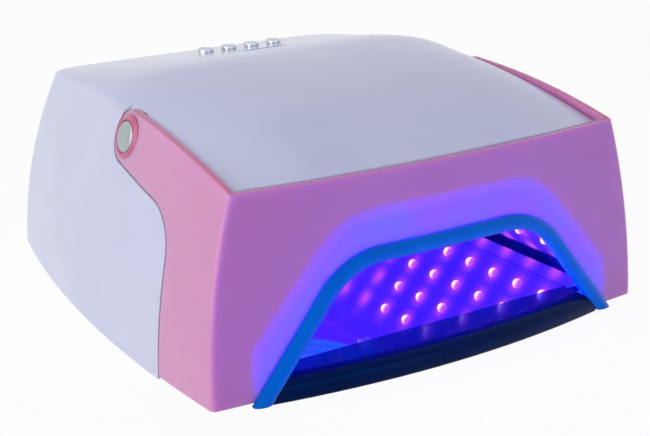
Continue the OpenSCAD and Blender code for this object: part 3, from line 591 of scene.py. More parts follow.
def translucent_pink():
    """Pink plastic with painted light: a painted violet-blue glow over the lamp's opening, painted shade
    that makes the front darker and more violet than the paler arms, and a painted deeper pink at its
    rims.
    """
    m, t, b = new_material("translucent_pink")
    x, y, z = place_mm(t)
    clouds = cloud(t, 18.0, 3)
    behind_face = math_node(t, "MULTIPLY_ADD", z, -tan(FACE_LEAN), y)
    to_arm = math_node(t, "MULTIPLY_ADD", behind_face, 1 / CORNER_FADE, 0.3, clamp=True)
    # Painted shade and painted violet light: the front is coloured darker and more violet than the paler
    # arms.
    base = mix_color(t, to_arm, rgb(205, 129, 208), rgb(238, 166, 206))
    base = mix_color(t, math_node(t, "MULTIPLY", clouds, 0.22), base, DEEP_PINK_TONE_AND_RIM_SHADE)
    # Painted light: a patchy violet-blue glow over the housing's opening, where the lamp's light shines
    # through the sheet.
    painted_glow = math_node(t, "MULTIPLY_ADD", mouth_distance(t, x, z), -1 / PAINTED_GLOW_FADE, 0.5, clamp=True)
    painted_glow_patches = math_node(t, "MULTIPLY_ADD", clouds, 4.0, -1.5, clamp=True)
    base = mix_color(t, painted_glow, base, mix_color(t, painted_glow_patches, rgb(148, 130, 248), rgb(186, 104, 238)))
    # Painted shade: the rims are coloured deeper pink, more so on the arms, standing in for light
    # passing through more plastic there.
    rim = add(t, "ShaderNodeAttribute", attribute_name="rim").outputs["Fac"]
    rim_shade_share = math_node(t, "MULTIPLY_ADD", to_arm, 0.45, 0.4)
    base = mix_color(t, math_node(t, "MULTIPLY", rim, rim_shade_share), base, DEEP_PINK_TONE_AND_RIM_SHADE)
    t.links.new(base, b.inputs["Base Color"])
    grain(t, b, 2500, 0.04)
    b.inputs["Roughness"].default_value = 0.28
    b.inputs["Subsurface Weight"].default_value = 1.0
    b.inputs["Subsurface Radius"].default_value = (1.0, 0.6, 1.0)
    b.inputs["Subsurface Scale"].default_value = 0.006
    b.inputs["Coat Weight"].default_value = 0.25
    b.inputs["Coat Roughness"].default_value = 0.1
    return m


def blue_gloss(name, c0, c1, rough, level):
    """Glossy plastic in the blue light: its reflections are blue too."""
    m = plastic(name, c0, c1, rough, 40, 0.03)
    b = m.node_tree.nodes["Principled BSDF"]
    b.inputs["Specular IOR Level"].default_value = level
    b.inputs["Specular Tint"].default_value = (0.01, 0.3, 1.0, 1)
    return m


def lit_foil():
    """Bright sheet with the violet light of the diodes on it."""
    m, t, b = new_material("lit_foil")
    halo = spot(t, 5.2, 4.0)
    light = mix_color(t, cloud(t, 45.0, 4), rgb(45, 40, 240), rgb(108, 40, 230))
    light = mix_color(t, math_node(t, "MULTIPLY", halo, 0.8), light, rgb(200, 70, 245))
    t.links.new(light, b.inputs["Emission Color"])
    t.links.new(math_node(t, "MULTIPLY_ADD", halo, 0.8, 0.55), b.inputs["Emission Strength"])
    varied(t, b, rgb(160, 150, 245), rgb(120, 110, 235), 60)
    b.inputs["Metallic"].default_value = 1.0
    b.inputs["Roughness"].default_value = 0.3
    grain(t, b, 160, 0.3, 0.0006)
    m.cycles.emission_sampling = "NONE"
    return m


def lit_lens():
    """Clear lens with a small bright core, longer up the slope, in violet light."""
    m, t, b = new_material("diode_lens")
    core = spot(t, 2.1, 1.0)
    light = mix_color(t, core, rgb(185, 66, 245), rgb(255, 200, 228))
    t.links.new(light, b.inputs["Emission Color"])
    t.links.new(math_node(t, "MULTIPLY_ADD", core, 4.0, 1.0), b.inputs["Emission Strength"])
    varied(t, b, rgb(150, 120, 240), rgb(140, 110, 230), 200)
    b.inputs["Roughness"].default_value = 0.15
    m.cycles.emission_sampling = "NONE"
    return m


def lit_tube():
    """Glass of the coiled tube, which glows blue."""
    m, t, b = new_material("tube_glass")
    body = rgb(90, 110, 230)
    varied(t, b, body, tuple(c * 0.9 for c in body[:3]) + (1,), 200)
    b.inputs["Emission Color"].default_value = rgb(25, 90, 255)
    b.inputs["Emission Strength"].default_value = 0.9
    b.inputs["Roughness"].default_value = 0.2
    return m


MATERIALS = {
    "white": plastic("white_abs", rgb(216, 219, 236), rgb(210, 213, 233), 0.32, 25, 0.05, 3000, 0.35),
    "pink": translucent_pink(),
    # Painted shade: a darker pink for the pivot bosses and hubs, standing in for the shade on them and
    # light through thicker plastic.
    "pink_painted_shade": plastic("pink_painted_shade", rgb(214, 100, 140), rgb(204, 88, 128), 0.3, 40, 0.04, 2500, 0.3),
    "blue": blue_gloss("blue_trim", rgb(5, 113, 208), rgb(3, 103, 202), 0.34, 0.4),
    "navy": blue_gloss("navy_gloss", rgb(1, 15, 62), rgb(1, 12, 48), 0.1, 0.2),
    "rail": blue_gloss("rail_blue", rgb(5, 30, 100), rgb(4, 24, 84), 0.25, 0.4),
    "silver": metal("silver_cap", rgb(178, 186, 186), rgb(164, 174, 176), 0.42, 90, 0.1, 2600),
    "button": metal("button_metal", rgb(196, 200, 210), rgb(176, 182, 194), 0.22, 90, 0.04, 2600),
    "mirror": metal("mirror", rgb(236, 226, 250), rgb(228, 220, 246), 0.02, 30, 0.01, 60),
    "steel": metal("steel", rgb(190, 192, 196), rgb(170, 172, 176), 0.3),
    "foil": lit_foil(),
    "led": lit_lens(),
    "tube": lit_tube(),
    "window": plastic("display_window", rgb(120, 150, 225), rgb(100, 130, 215), 0.08, 60, 0.0, 900, 0.5),
    "board": plastic("board_green", rgb(24, 92, 60), rgb(16, 78, 50), 0.4, 60, 0.1, 900),
    "rubber": plastic("rubber", rgb(24, 24, 26), rgb(18, 18, 20), 0.85, 90, 0.4, 1800),
    "black": plastic("black_plastic", rgb(24, 24, 27), rgb(17, 17, 20), 0.4, 60, 0.1),
    "tape": plastic("tape", rgb(230, 190, 60), rgb(220, 180, 50), 0.45, 60),
}
BUTTON_NODES = ("time_button_short", "time_button_medium", "time_button_long", "power_button")

# Finish of each node, also of those that a piece stands for
FINISHES = {
    "white": ("top_shell", "base_frame", "tube_holder", "tube_boots"),
    "pink": ("visor",),
    "blue": ("visor_trim",),
    "navy": ("tray", "tray_rail_left", "tray_rail_right"),
    "silver": ("hinge_cap_left", "hinge_cap_right"),
    "button": BUTTON_NODES,
    "mirror": ("tray_mirror", "side_mirrors"),
    "steel": ("hinge_screws", "base_screws"),
    "foil": ("reflector",),
    "led": ("led_lenses_left", "led_lenses_right"),
    "tube": ("coil_tube",),
    "window": ("display_window",),
    "board": ("led_board_left", "led_board_right", "ballast_board", "control_board"),
    "rubber": ("rubber_feet",),
    "black": ("button_switches", "display_module", "power_jack"),
    "tape": ("transformer",),
}
for finish, names in FINISHES.items():
    for name in names:
        dress(nodes[name], MATERIALS[finish])


# Housing: two skins as one stack of rings, each from the front's middle round the left side.
# front_in is the depth below the surface up to the recess's edge, rear_in the depth behind it,
# and lid the depth under the roof.
FRONT_N, CORNER_N, ARM_N, FLANK_N, REAR_CORNER_N, REAR_N = 14, 4, 16, 24, 12, 12
FRONT_PART = FRONT_N + CORNER_N + ARM_N + 1


def corner_r(d):
    return max(0.8, FRONT_CORNER - d)


def corner_x(z, d):
    r = corner_r(d) + d
    return side_x(face_y(HALF_W, z) + r, z) - r


def half_outline(z, front_in, rear_in, beyond):
    xc = corner_x(z, front_in)
    rc = corner_r(front_in)
    yc = face_y(xc, z) + front_in + rc
    ys = step_y(z, beyond)
    yt = rear_y(HALF_W * REAR_CORNER_AT, z) - REAR_CORNER * (1 - sin(FLANK_SLOPE))
    xr = side_x(yt, z) - REAR_CORNER * cos(FLANK_SLOPE)
    yr = rear_y(xr, z) - REAR_CORNER
    rr = REAR_CORNER - rear_in
    y_end = yr + rr * sin(FLANK_SLOPE)
    pts = []
    for i in range(FRONT_N):
        x = -xc * i / FRONT_N
        pts.append((x, face_y(x, z) + front_in))
    for i in range(CORNER_N):
        a = 90 * i / CORNER_N
        pts.append((-xc - rc * sin(a), yc - rc * cos(a)))
    for i in range(ARM_N + 1):
        y = mix(yc, ys, i / ARM_N)
        pts.append((front_in - side_x(y, z), y))
    for i in range(FLANK_N):
        y = mix(ys, y_end, i / FLANK_N)
        pts.append((rear_in - side_x(y, z), y))
    for i in range(REAR_CORNER_N + 1):
        a = mix(FLANK_SLOPE, 90, i / REAR_CORNER_N)
        pts.append((-xr - rr * cos(a), yr + rr * sin(a)))
    for i in range(1, REAR_N + 1):
        x = -xr * (1 - i / REAR_N)
        pts.append((x, rear_y(x, z) - rear_in))
    return pts


def level_z(level, y, lid, edge, last_edge):
    """Height of a ring at y: level low down, following the roof's edge higher up."""
    if level <= LEVEL_MOST:
        return level
    rise = (edge_z(y) - lid - edge - LEVEL_MOST) / (CREST_Z - lid - last_edge - LEVEL_MOST)
    return LEVEL_MOST + (level - LEVEL_MOST) * rise


def edge_size(i, y, front_edge, rear_edge):
    """Size of the rounded top edge at a point of the half outline."""
    if i >= FRONT_PART:
        return rear_edge
    if i < FRONT_N:
        return front_edge
    return mix(front_edge, front_edge + arm_step(y), clamp01((i - FRONT_N) / CORNER_N))


def side_ring(level, front_in, rear_in, beyond, lid, front_edge, rear_edge):
    draft = half_outline(min(level, CREST_Z - lid - 1), front_in, rear_in, beyond)
    half = []
    for i, (_, y) in enumerate(draft):
        z = level_z(level, y, lid, edge_size(i, y, front_edge, rear_edge), rear_edge)
        x, y = half_outline(z, front_in, rear_in, beyond)[i]
        half.append((x, y, z))
    return half + [(-x, y, z) for x, y, z in half[-2:0:-1]]


def edge_ring(top, a, lid, front_edge, rear_edge):
    out = []
    for i, (x, y, z) in enumerate(top):
        size = edge_size(min(i, len(top) - i), y, front_edge, rear_edge)
        shrink = 1 - size * (1 - cos(a)) / HALF_W
        x, y = x * shrink, CREST_Y + (y - CREST_Y) * shrink
        out.append((x, y, mix(z, roof_z(x, y) - lid, sin(a))))
    return out


def roof_ring(last, share, lid):
    places = [(x * share, CREST_Y + (y - CREST_Y) * share) for x, y, _ in last]
    return [(x, y, roof_z(x, y) - lid) for x, y in places]


def skin(front_in, rear_in, beyond, lid, rear_edge, levels, edge_angles, roof_shares):
    rings = [side_ring(v, front_in, rear_in, beyond, lid, FRONT_EDGE, rear_edge)
             for v in levels + [CREST_Z - lid - rear_edge]]
    rings += [edge_ring(rings[-1], a, lid, FRONT_EDGE, rear_edge) for a in edge_angles]
    last = rings[-1]
    return rings + [roof_ring(last, s, lid) for s in roof_shares]


def levels_for(beyond, n_upright, n_bend, n_line, n_round):
    """Heights of the rings, denser where the recess's edge bends."""
    low, bent = bend_z(beyond), bend_end(beyond)
    levels = [mix(SHELL_Z, low, i / n_upright) for i in range(n_upright)]
    levels += [low + (bent - low) * sin(90 * i / n_bend) for i in range(n_bend)]
    levels += [mix(bent, round_start(beyond), i / n_line) for i in range(n_line)]
    turns = [mix(90 - ARM_RISE, VISOR_OPEN - 90, i / n_round) for i in range(n_round + 1)]
    levels += [PIVOT_Z - (RECESS + beyond) * sin(a) for a in turns]
    levels += [mix(round_end(beyond), CREST_Z - 1, 0.5)]
    return [v for v in levels if v < CREST_Z - 4]


def housing_mesh():
    shares = [round(1 - 0.012 * i * (1 + i * 0.12), 4) for i in range(1, 18)]
    shares += [0.35, 0.22, 0.1]
    outer = skin(INSET, 0, 0, 0, TOP_EDGE, levels_for(0, 9, 12, 6, 14),
                 [12, 25, 38, 51, 64, 77, 90], shares)
    inner = skin(INSET + WALL, WALL, WALL, WALL, 1.0, levels_for(WALL, 3, 4, 2, 5),
                 [30, 60, 90], [0.93, 0.8, 0.6, 0.35, 0.1])
    stack = inner[::-1] + outer
    n = len(outer[0])
    pts = [P(*p) for ring in stack for p in ring]
    return pts, ring_faces(len(stack), n) + end_faces(len(stack), n)


def hub_block(name, side, r, x_in, inset, z_most=200.0, bore=0.0):
    """Round block on the pivot's line, from x_in out to the side surface inset by a depth."""
    n = 64
    first = bore if bore > 0 else 0.2
    rows = [(x_in, first), (x_in, r)] + [(None, mix(r, first, k / 5)) for k in range(6)]
    pts = []
    for x, radius in rows:
        for k in range(n):
            a = 360 * k / n
            y, z = PIVOT_Y + radius * cos(a), min(z_most, PIVOT_Z + radius * sin(a))
            pts.append(P(side * (side_x(y, z) - inset if x is None else x), y, z))
    faces = ring_faces(len(rows), n)
    if bore > 0:
        last = (len(rows) - 1) * n
        faces += [(last + k, last + (k + 1) % n, (k + 1) % n, k) for k in range(n)]
    else:
        faces += end_faces(len(rows), n)
    return mesh_object(name, pts, faces, smooth=False)


def mouth_hole():
    """The opening behind the visor's arch, cut upright at its widest."""
    foot = MOUTH_SHOULDER + MOUTH_H / tan(MOUTH_SLOPE)
    upright = (foot - MOUTH_HALF) * tan(MOUTH_SLOPE)
    outline = []
    for x, z in arch(foot, MOUTH_SHOULDER, MOUTH_H, MOUTH_R, 0, MOUTH_LOW):
        if abs(x) <= MOUTH_HALF:
            outline.append((x, z))
        elif x > 0:
            outline += [(MOUTH_HALF, z), (MOUTH_HALF, upright)]
        else:
            outline += [(-MOUTH_HALF, upright), (-MOUTH_HALF, z)]
    return prism("mouth_cut", outline, -30, 25)


def button_place(i):
    return Matrix.Translation(((i - 1.5) * BUTTON_PITCH, BUTTON_Y, 0))


def button_hole(i):
    r = BUTTON_D / 2 + HOLE_GAP
    return lathe("hole_cut", [(r, 60), (r, 120)], button_place(i), 40, False)


def socket_hole():
    place = Matrix.Translation((SOCKET_X, rear_y(SOCKET_X, SOCKET_Z), SOCKET_Z))
    place = place @ Matrix.Rotation(math.radians(-90), 4, "X")
    return lathe("socket_cut", [(SOCKET_R, -20), (SOCKET_R, 20)], place, 40, False)


def vent(i):
    x = (i - (VENTS - 1) / 2) * VENT_PITCH
    x0, x1, y = x - VENT_W / 2, x + VENT_W / 2, rear_y(0, VENT_HIGH)
    outline = [(x0, VENT_LOW), (x1, VENT_LOW), (x1, VENT_HIGH), (x0, VENT_HIGH)]
    return prism("vent_cut", outline, y - 12, y + 18)


def window_hole():
    """Block square to the roof, a gap larger than the window's plate."""
    height = roof_z(0, WINDOW_Y)
    slope = math.atan(roof_z(0, WINDOW_Y + 1) - height)
    place = Matrix.Translation((0, WINDOW_Y, height)) @ Matrix.Rotation(slope, 4, "X")
    w, d = WINDOW_W / 2 + HOLE_GAP, WINDOW_D / 2 + HOLE_GAP
    corners = [place @ Vector((x, y, z)) for z in (-7, 7)
               for x, y in ((-w, -d), (w, -d), (w, d), (-w, d))]
    return mesh_object("window_cut", [P(*c) for c in corners],
                       end_faces(2, 4) + ring_faces(2, 4), smooth=False)


pts, faces = housing_mesh()
housing = mesh_object("housing_shell", pts, faces)
uncut = mesh_object("uncut_surface", pts, faces)
cut(housing, [hub_block("pivot_block", side, RECESS + WALL, POCKET_X - BOSS_DEPTH,
                        INSET + WALL / 2, edge_z(PIVOT_Y) - WALL - 0.5)
              for side in (-1, 1)], "UNION")
cut(housing, [mouth_hole()] + [button_hole(i) for i in range(len(BUTTON_NODES))]
    + [socket_hole()] + [vent(i) for i in range(VENTS)] + [window_hole()]
    + [hub_block("pocket_cut", side, RECESS + HUB_STEP, POCKET_X, -4) for side in (-1, 1)])
normals_from(housing, uncut)
bpy.data.objects.remove(uncut)
dress(housing, MATERIALS["white"])
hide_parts("top_shell")
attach(housing, "housing")


# Push buttons with dished tops
def button_profile():
    """Radius and height from the stem's foot over the collar to the middle of the dish."""
    r, top, foot = BUTTON_D / 2, BUTTON_TOP, BUTTON_FOOT
    return [(1.6, foot), (1.6, foot + 0.8), (5.4, foot + 0.8), (5.4, foot + 1.9), (r, foot + 1.9),
            (r, top - 0.55), (r - 0.12, top - 0.2), (r - 0.4, top - 0.03), (r - 0.7, top),
            (r - 0.95, top - 0.06), (r - 1.2, top - 0.2), (1.2, top - 0.3), (0.3, top - 0.32)]


for i, node in enumerate(BUTTON_NODES):
    cap = lathe(node + "_cap", button_profile(), button_place(i), 48)
    dress(cap, MATERIALS["button"])
    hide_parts(node)
    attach(cap, node)


# Display window
def window_plate():
    """Thin plate that follows the roof, with rounded corners and edge."""
    outline = []
    for cx, cy, a0 in ((1, 1, 0), (-1, 1, 90), (-1, -1, 180), (1, -1, 270)):
        outline += arc(cx * (WINDOW_W / 2 - WINDOW_R), cy * (WINDOW_D / 2 - WINDOW_R), WINDOW_R,
                       a0, a0 + 90, 5)
    rows = [(1.0, -1.2), (1.0, 0.0), (0.985, 0.16), (0.95, WINDOW_PROUD)]
    rows += [(share, WINDOW_PROUD) for share in (0.7, 0.4, 0.1)]
    pts = []
    for share, h in rows:
        places = [(x * share, WINDOW_Y + y * share) for x, y in outline]
        pts += [P(x, y, roof_z(x, y) + h) for x, y in places]
    n = len(outline)
    return mesh_object("window_plate", pts, ring_faces(len(rows), n) + end_faces(len(rows), n))


window = window_plate()
dress(window, MATERIALS["window"])
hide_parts("display_window")
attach(window, "housing")


# Reflector liner
def room_x(y, z):
    """Half width that the housing leaves for the liner."""
    return side_x(y, z) - WALL - LINER_ROOM


def liner_line(t, z_low):
    return resampled(arch(PANEL_FOOT, PANEL_TOP, CEILING_Z, FOLD_R, t, z_low, 8), LINER_STEP)


def liner_sheet():
    """Folded foil, slightly crinkled, more so at its front edge."""
    low = FLOOR_Z - MIRROR_T
    inner = liner_line(0, low)
    outer = liner_line(-LINER_T, low)
    n = len(inner)
    outer = [outer[round(i * (len(outer) - 1) / (n - 1))] for i in range(n)]
    count = 52
    pts = []
    for line, crinkled, spare in ((inner, 1, 0), (outer, 0, LINER_T)):
        for j in range(count):
            y = mix(LINER_FRONT, CHAMBER_D, (j / (count - 1)) ** 1.3)
            for i, (x, z) in enumerate(line):
                size = crinkled * (0.22 + 0.75 * clamp01((34 - y) / 20))
                size *= clamp01(min(i, n - 1 - i) / 3)
                place = Vector((x, y, z))
                wave = noise.noise(place / 9) + 0.5 * noise.noise(place / 4)
                x = kept_within(x * (1 - 0.006 * size * wave), room_x(y, z) + spare)
                pts.append(P(x, y, z - size * max(0, wave)))
    half = count * n
    faces = ring_faces(count, n, 0, False)
    faces += [f[::-1] for f in ring_faces(count, n, half, False)]
    for i in (0, n - 1):
        edge = [j * n + i for j in range(count)]
        faces += [(a, b, half + b, half + a) for a, b in zip(edge, edge[1:])]
    for j in (0, count - 1):
        edge = [j * n + i for i in range(n)]
        faces += [(a, b, half + b, half + a) for a, b in zip(edge, edge[1:])]
    return mesh_object("liner_sheet", pts, faces)


liner = liner_sheet()
rear_room = room_x(CHAMBER_D, FLOOR_Z)
rear_line = [(kept_within(x, rear_room), z) for x, z in liner_line(0.3, FLOOR_Z)]
liner_rear = prism("liner_rear", rear_line, CHAMBER_D - 1, CHAMBER_D)
dress(liner, MATERIALS["foil"])
dress(liner_rear, MATERIALS["foil"])
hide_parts("reflector")
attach(liner, "housing")
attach(liner_rear, "housing")


# Ridged rails and mirror strips at the floor's sides
def rail_outline():
    low = FLOOR_Z - MIRROR_T
    out = [(RAIL_X, RAIL_LOW), (RAIL_INNER + RAIL_T, RAIL_LOW), (RAIL_INNER + RAIL_T, low),
           (RAIL_WALL, FLOOR_Z + RAIL_H), (RAIL_INNER, FLOOR_Z + RAIL_H)]
    step = RAIL_H / RIDGES
    for k in reversed(range(RIDGES)):
        z = FLOOR_Z + step * k
        out += [(RAIL_INNER - RIDGE_OUT, z + step * 0.8), (RAIL_INNER - RIDGE_OUT, z + step * 0.35),
                (RAIL_INNER, z)]
    return out + [(RAIL_INNER, low), (RAIL_X, low)]


def strip_outline():
    low = FLOOR_Z - MIRROR_T
    return [(RAIL_X, low), (RAIL_INNER, low), (RAIL_INNER, FLOOR_Z), (RAIL_X, FLOOR_Z)]


def along_side(name, side, outline):
    """Outline of the right side run to the rear, moved in where the housing narrows."""
    stations = [9, 60, 110, 130, 145, 160, 175, CHAMBER_D - 2]
    pts = []
    for y in stations:
        shift = max(0.0, RAIL_INNER + RAIL_T - room_x(y, FLOOR_Z))
        pts += [P(side * (x if x < RAIL_X + 0.1 else x - shift), y, z) for x, z in outline]
    n = len(outline)
    faces = ring_faces(len(stations), n) + end_faces(len(stations), n)
    return mesh_object(name, pts, faces, smooth=False)


for side, word in ((-1, "left"), (1, "right")):
    rail = along_side("ridged_rail_" + word, side, rail_outline())
    dress(rail, MATERIALS["rail"])
    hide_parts("tray_rail_" + word)
    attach(rail, "housing")
    strip = along_side("mirror_strip_" + word, side, strip_outline())
    dress(strip, MATERIALS["mirror"])
    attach(strip, "housing")
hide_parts("side_mirrors")


# Visor: u runs along the sheet, 0 at the front's middle, round the corner and back on the arm
U_FRONT = 110.0
U_CORNER = FRONT_CORNER * math.pi / 2
GRID = 4.0


def visor_point(u, z, d):
    """Place on the sheet, d below its outer surface."""
    s = -1 if u < 0 else 1
    au = abs(u)
    xc = corner_x(z, d)
    rc = corner_r(d)
    if au <= U_FRONT:
        x = au * xc / U_FRONT
        return (s * x, face_y(x, z) + d, z)
    yc = face_y(xc, z) + d + rc
    if au < U_FRONT + U_CORNER:
        a = 90 * (au - U_FRONT) / U_CORNER
        return (s * (xc + rc * sin(a)), yc - rc * cos(a), z)
    yc0 = face_y(corner_x(z, 0), z) + corner_r(0)
    y = yc0 + au - U_FRONT - U_CORNER
    if d > 0:
        y = max(y, yc)
    return (s * (side_x(y, z) - d), y, z)


def side_u(y, z):
    return U_FRONT + U_CORNER + y - face_y(corner_x(z, 0), z) - corner_r(0)


def front_u(x, z):
    return x * U_FRONT / corner_x(z, 0)


def arch_edge():
    """Right half of the arch in (x, z), from its crown to its foot."""
    line = arch(ARCH_FOOT, ARCH_SHOULDER, ARCH_H, ARCH_R, TRIM_LAP, 0)
    right = line[:len(line) // 2]
    crown = (0, right[-1][1])
    return steps(crown, right[-1], 12, 0, 12) + right[:0:-1] + steps(right[1], right[0], 20, 1, 21)


def arm_edge():
    """Edge of the arm in (y, z), from its rear foot up and round the pivot to the roof's edge."""
    r = ARM_BEND + VISOR_GAP
    y = ARM_REAR + r
    line = PIVOT_Z - ARM_END / cos(ARM_RISE)
    z = line - (PIVOT_Y - y) * tan(ARM_RISE) - r / cos(ARM_RISE)
    out = steps((ARM_REAR, 0), (ARM_REAR, z), 16, 1, 17)
    out += arc(y, z, r, 180, 90 + ARM_RISE, 14)[1:]
    top = 90 + math.degrees(math.asin((CREST_Y - PIVOT_Y) / FRONT_FALL))
    end = arc(PIVOT_Y, PIVOT_Z, ARM_END, ARM_RISE - 90, top, 30)
    return out + steps(out[-1], end[0], 8, 1, 8) + end


def visor_outline():
    """Edge of the visor in (u, z), right half from the arch's crown down and round."""
    half = [(front_u(x, z), z) for x, z in arch_edge()]
    half += steps(half[-1], (side_u(ARM_REAR, 0), 0), 24, 1, 25)
    arm = arm_edge()
    half += [(side_u(y, z), z) for y, z in arm]
    y_corner = face_y(corner_x(90, 0), 90) + FRONT_CORNER
    for i in range(1, 41):
        y = mix(arm[-1][0], y_corner, i / 40)
        half.append((side_u(y, edge_z(y)), edge_z(y)))
    u_corner = half[-1][0]
    for i in range(1, 61):
        u = u_corner * (1 - i / 60)
        z = edge_z(0)
        for _ in range(4):
            z = edge_z(visor_point(u, z, 0)[1])
        half.append((u, z))
    return half + [(-u, z) for u, z in half[-2:0:-1]]


def inset_loop(loop, t):
    """Loop moved in by t, at each point square to both its edges."""
    n = len(loop)
    out = []
    for i in range(n):
        a, b, c = Vector(loop[i - 1]), Vector(loop[i]), Vector(loop[(i + 1) % n])
        e1, e2 = (b - a).normalized(), (c - b).normalized()
        m = Vector((-e1.y - e2.y, e1.x + e2.x))
        m = m / max(0.5, m.length_squared / 2)
        out.append((b.x + m.x * t, b.y + m.y * t))
    return out


def inside(loop, x, y):
    res = False
    for (x0, y0), (x1, y1) in zip(loop[-1:] + loop, loop):
        if (y0 > y) != (y1 > y) and x < (x1 - x0) * (y - y0) / (y1 - y0) + x0:
            res = not res
    return res


def near_loop(loop, x, y, t):
    """Whether a point is closer than t to the loop."""
    for (x0, y0), (x1, y1) in zip(loop[-1:] + loop, loop):
        dx, dy = x1 - x0, y1 - y0
        q = clamp01(((x - x0) * dx + (y - y0) * dy) / max(1e-9, dx * dx + dy * dy))
        if (x - x0 - q * dx) ** 2 + (y - y0 - q * dy) ** 2 < t * t:
            return True
    return False


def grid_points(loop):
    """Points of a grid within the loop, with closer columns at each corner."""
    marks = [i * GRID for i in range(-27, 28)]
    for s in (-1, 1):
        marks += [s * (U_FRONT + U_CORNER * i / 4) for i in range(5)]
        marks += [s * (U_FRONT + U_CORNER + 2 + i * GRID) for i in range(26)]
    heights = [j * GRID for j in range(26)]
    return [Vector((u, z)) for u in sorted(set(round(v, 3) for v in marks)) for z in heights
            if inside(loop, u, z) and not near_loop(loop, u, z, 0.9)]


def visor_mesh():
    """Both skins of the sheet with a round rim, and how near the rim each point is."""
    loop = visor_outline()
    if sum(a[0] * b[1] - b[0] * a[1] for a, b in zip(loop[-1:] + loop, loop)) < 0:
        loop = loop[::-1]
    angles = [0, 25, 50, 70, 90]
    loops = [inset_loop(loop, VISOR_EDGE * (1 - cos(a))) for a in angles]
    core = loops[-1]
    n = len(core)
    edges = [(i, (i + 1) % n) for i in range(n)]
    flat = delaunay_2d_cdt([Vector(p) for p in core] + grid_points(core), edges,
                           [tuple(range(n))], 1, 1e-5)
    pts, faces, rim = [], [], []
    for inner in (False, True):
        base = len(pts)
        for ring, a in zip(loops, angles):
            d = VISOR_EDGE * (1 - sin(a))
            pts += [P(*visor_point(u, z, VISOR_T - d if inner else d)) for u, z in ring]
            rim += [cos(a)] * n
        start = len(pts)
        pts += [P(*visor_point(v.x, v.y, VISOR_T if inner else 0)) for v in flat[0]]
        rim += [0.0] * len(flat[0])
        faces += ring_faces(len(loops), n, base)
        faces += [tuple(start + i for i in f) for f in flat[2]]
    half = len(pts) // 2
    faces += [(i, half + i, half + (i + 1) % n, (i + 1) % n) for i in range(n)]
    return pts, faces, rim


pts, faces, rim = visor_mesh()
visor = mesh_object("visor_sheet", pts, faces, smooth=False)
# The rim values mark where the pink material paints its deeper pink rim shade.
visor.data.attributes.new("rim", "FLOAT", "POINT").data.foreach_set("value", rim)
bm = bmesh.new()
bm.from_mesh(visor.data)
bmesh.ops.remove_doubles(bm, verts=bm.verts, dist=2e-6)
bmesh.ops.recalc_face_normals(bm, faces=bm.faces)
bm.to_mesh(visor.data)
bm.free()
shade(visor, 40)
dress(visor, MATERIALS["pink"])
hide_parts("visor")
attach(visor, "visor")


# Hub in each pocket, and the flared boss round each cap
BOSS_PROFILE = [(9.9, -2.0), (9.9, -0.1), (9.6, 0.15), (9.0, 0.55), (8.4, 0.9), (7.95, 1.05),
                (7.6, 1.0), (7.3, 0.8), (7.1, 0.4), (7.1, -0.4)]


def cap_axis(side):
    """Place of a pivot cap, with its Z straight out of the arm."""
    m = (Matrix.Translation((PIVOT_X, PIVOT_Y, PIVOT_Z)) @ Matrix.Rotation(CAP_TURN, 4, "Z")
         @ Matrix.Rotation(math.radians(90 - CAP_TILT), 4, "Y"))
    return m if side > 0 else Matrix.Diagonal((-1, 1, 1, 1)) @ m


# Hubs and bosses are dressed in a darker pink, which is painted shade.
for side, word in ((-1, "left"), (1, "right")):
    hub = hub_block("pivot_hub_" + word, side, ARM_END - HUB_STEP, HUB_IN, VISOR_T / 2,
                    bore=SCREW_HEAD_R)
    dress(hub, MATERIALS["pink_painted_shade"])
    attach(hub, "visor")
    boss = lathe("pivot_boss_" + word, BOSS_PROFILE, cap_axis(side), 64)
    dress(boss, MATERIALS["pink_painted_shade"])
    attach(boss, "visor")


# Trim
def fine_arch(t):
    line = arch(ARCH_FOOT, ARCH_SHOULDER, ARCH_H, ARCH_R, t, -1, 20)
    half = line[:len(line) // 2]
    right = steps(half[0], half[1], 24, 0, 24) + half[1:]
    right += steps(half[-1], (0, half[-1][1]), 16, 1, 17)
    return right + [(-x, z) for x, z in right[-2::-1]]


def arch_trim():
    """Bead along the arch; its section is (distance inside the arch, height over the face)."""
    section = [(0.0, 0.05)]
    section += [(TRIM_W / 2 * (1 - cos(a)), TRIM_OUT * (0.45 + 0.55 * sin(a)))
                for a in range(0, 181, 12)]
    section += [(TRIM_W, -TRIM_IN), (TRIM_LAP + 0.15, -TRIM_IN), (TRIM_LAP + 0.15, 0.05)]
    lines = [fine_arch(t) for t, _ in section]
    pts = []
    for places in zip(*lines):
        pts += [P(x, face_y(x, z) - out, z) for (x, z), (_, out) in zip(places, section)]
    rows, n = len(lines[0]), len(section)
    return mesh_object("arch_trim", pts, ring_faces(rows, n) + end_faces(rows, n))


trim = arch_trim()
dress(trim, MATERIALS["blue"])
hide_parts("visor_trim")
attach(trim, "visor")

# Camera, fitted to the photograph's view
YAW, PITCH, ROLL = 34.70, 18.99, 0.42
CAMERA_PLACE = P(-371.7, -450.16, 257.8)
level = Vector((cos(YAW), -sin(YAW), 0))
back = Vector((-sin(YAW) * cos(PITCH), -cos(YAW) * cos(PITCH), sin(PITCH)))
above = back.cross(level)
right = cos(ROLL) * level + sin(ROLL) * above
up = cos(ROLL) * above - sin(ROLL) * level
lens = bpy.data.cameras.new("photo_camera")
lens.lens = 83.14
lens.sensor_width = 36.0
lens.clip_start = 0.01
camera = bpy.data.objects.new("photo_camera", lens)
camera.matrix_world = Matrix.Translation(CAMERA_PLACE) @ Matrix((right, up, back)).transposed().to_4x4()
scene.collection.objects.link(camera)
scene.camera = camera


# Studio lamps in metres, and the lamp's own light in the chamber and behind the visor
def area_light(name, place, target, size, power, color):
    data = bpy.data.lights.new(name, "AREA")
    data.shape = "RECTANGLE"
    data.size, data.size_y = size
    data.energy = power
    data.color = color
    o = bpy.data.objects.new(name, data)
    scene.collection.objects.link(o)
    o.location = place
    direction = Vector(target) - Vector(place)
    o.rotation_euler = direction.to_track_quat("-Z", "Y").to_euler()
    return o


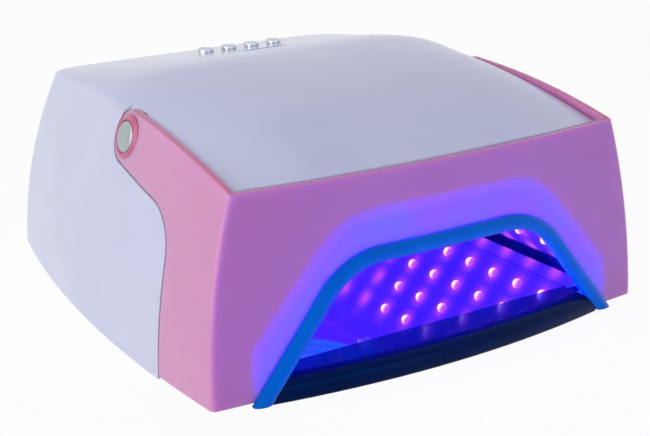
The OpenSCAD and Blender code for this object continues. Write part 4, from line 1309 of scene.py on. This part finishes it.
area_light("key", (-1.2, -0.25, 0.35), (0, 0, 0.05), (1.5, 1.5), 10.4, (1, 0.99, 0.98))
area_light("fill", (0.3, -1.3, 0.45), (0, 0, 0.05), (0.9, 0.6), 1.6, (1, 0.96, 1))
area_light("top", (0.1, 0.5, 1.2), (0, 0, 0.05), (1.0, 1.0), 1.0, (0.9, 0.94, 1))
own_light = [area_light("chamber_" + word, P(x, 90, 60), P(x, 90, 8), (0.04, 0.12), 0.05,
                        (0.30, 0.14, 1.0)) for x, word in ((-30, "left"), (30, "right"))]
own_light.append(area_light("behind_visor", P(0, 40, 34), P(0, -10, 36), (0.15, 0.05), 0.9,
                            (0.0, 0.10, 1.0)))
for light in own_light:
    light.visible_glossy = False
    light.visible_camera = False


# White surroundings
def shows_background(t):
    """1 for rays from the camera, a reflection or a clear piece, and 0 for light's own."""
    rays = add(t, "ShaderNodeLightPath").outputs
    seen = math_node(t, "MAXIMUM", rays["Is Camera Ray"], rays["Is Glossy Ray"])
    return math_node(t, "MAXIMUM", seen, rays["Is Transmission Ray"])


world = bpy.data.worlds.new("studio")
scene.world = world
world.use_nodes = True
wt = world.node_tree
sky = wt.nodes["Background"]
sky.inputs["Color"].default_value = (0.72, 0.75, 1.0, 1)
sky.inputs["Strength"].default_value = 0.45
white_sky = add(wt, "ShaderNodeBackground", Color=(1, 1, 1, 1))
mix_shader(wt, shows_background(wt), sky.outputs[0], white_sky.outputs[0],
           wt.nodes["World Output"].inputs[0])

FLOOR_HALF = 3.0
corners = [(x * FLOOR_HALF, y * FLOOR_HALF, 0) for x, y in ((-1, -1), (1, -1), (1, 1), (-1, 1))]
floor = mesh_object("studio_floor", corners, [(0, 1, 2, 3)], smooth=False)
m, t, b = new_material("floor_white")
b.inputs["Base Color"].default_value = (0.9, 0.9, 0.91, 1)
b.inputs["Roughness"].default_value = 0.7
glow = add(t, "ShaderNodeEmission", Color=(1, 1, 1, 1))
mix_shader(t, math_node(t, "MULTIPLY", shows_background(t), 0.95), b.outputs[0], glow.outputs[0],
           t.nodes["Material Output"].inputs[0])
dress(floor, m)

scene.view_settings.view_transform = "Standard"
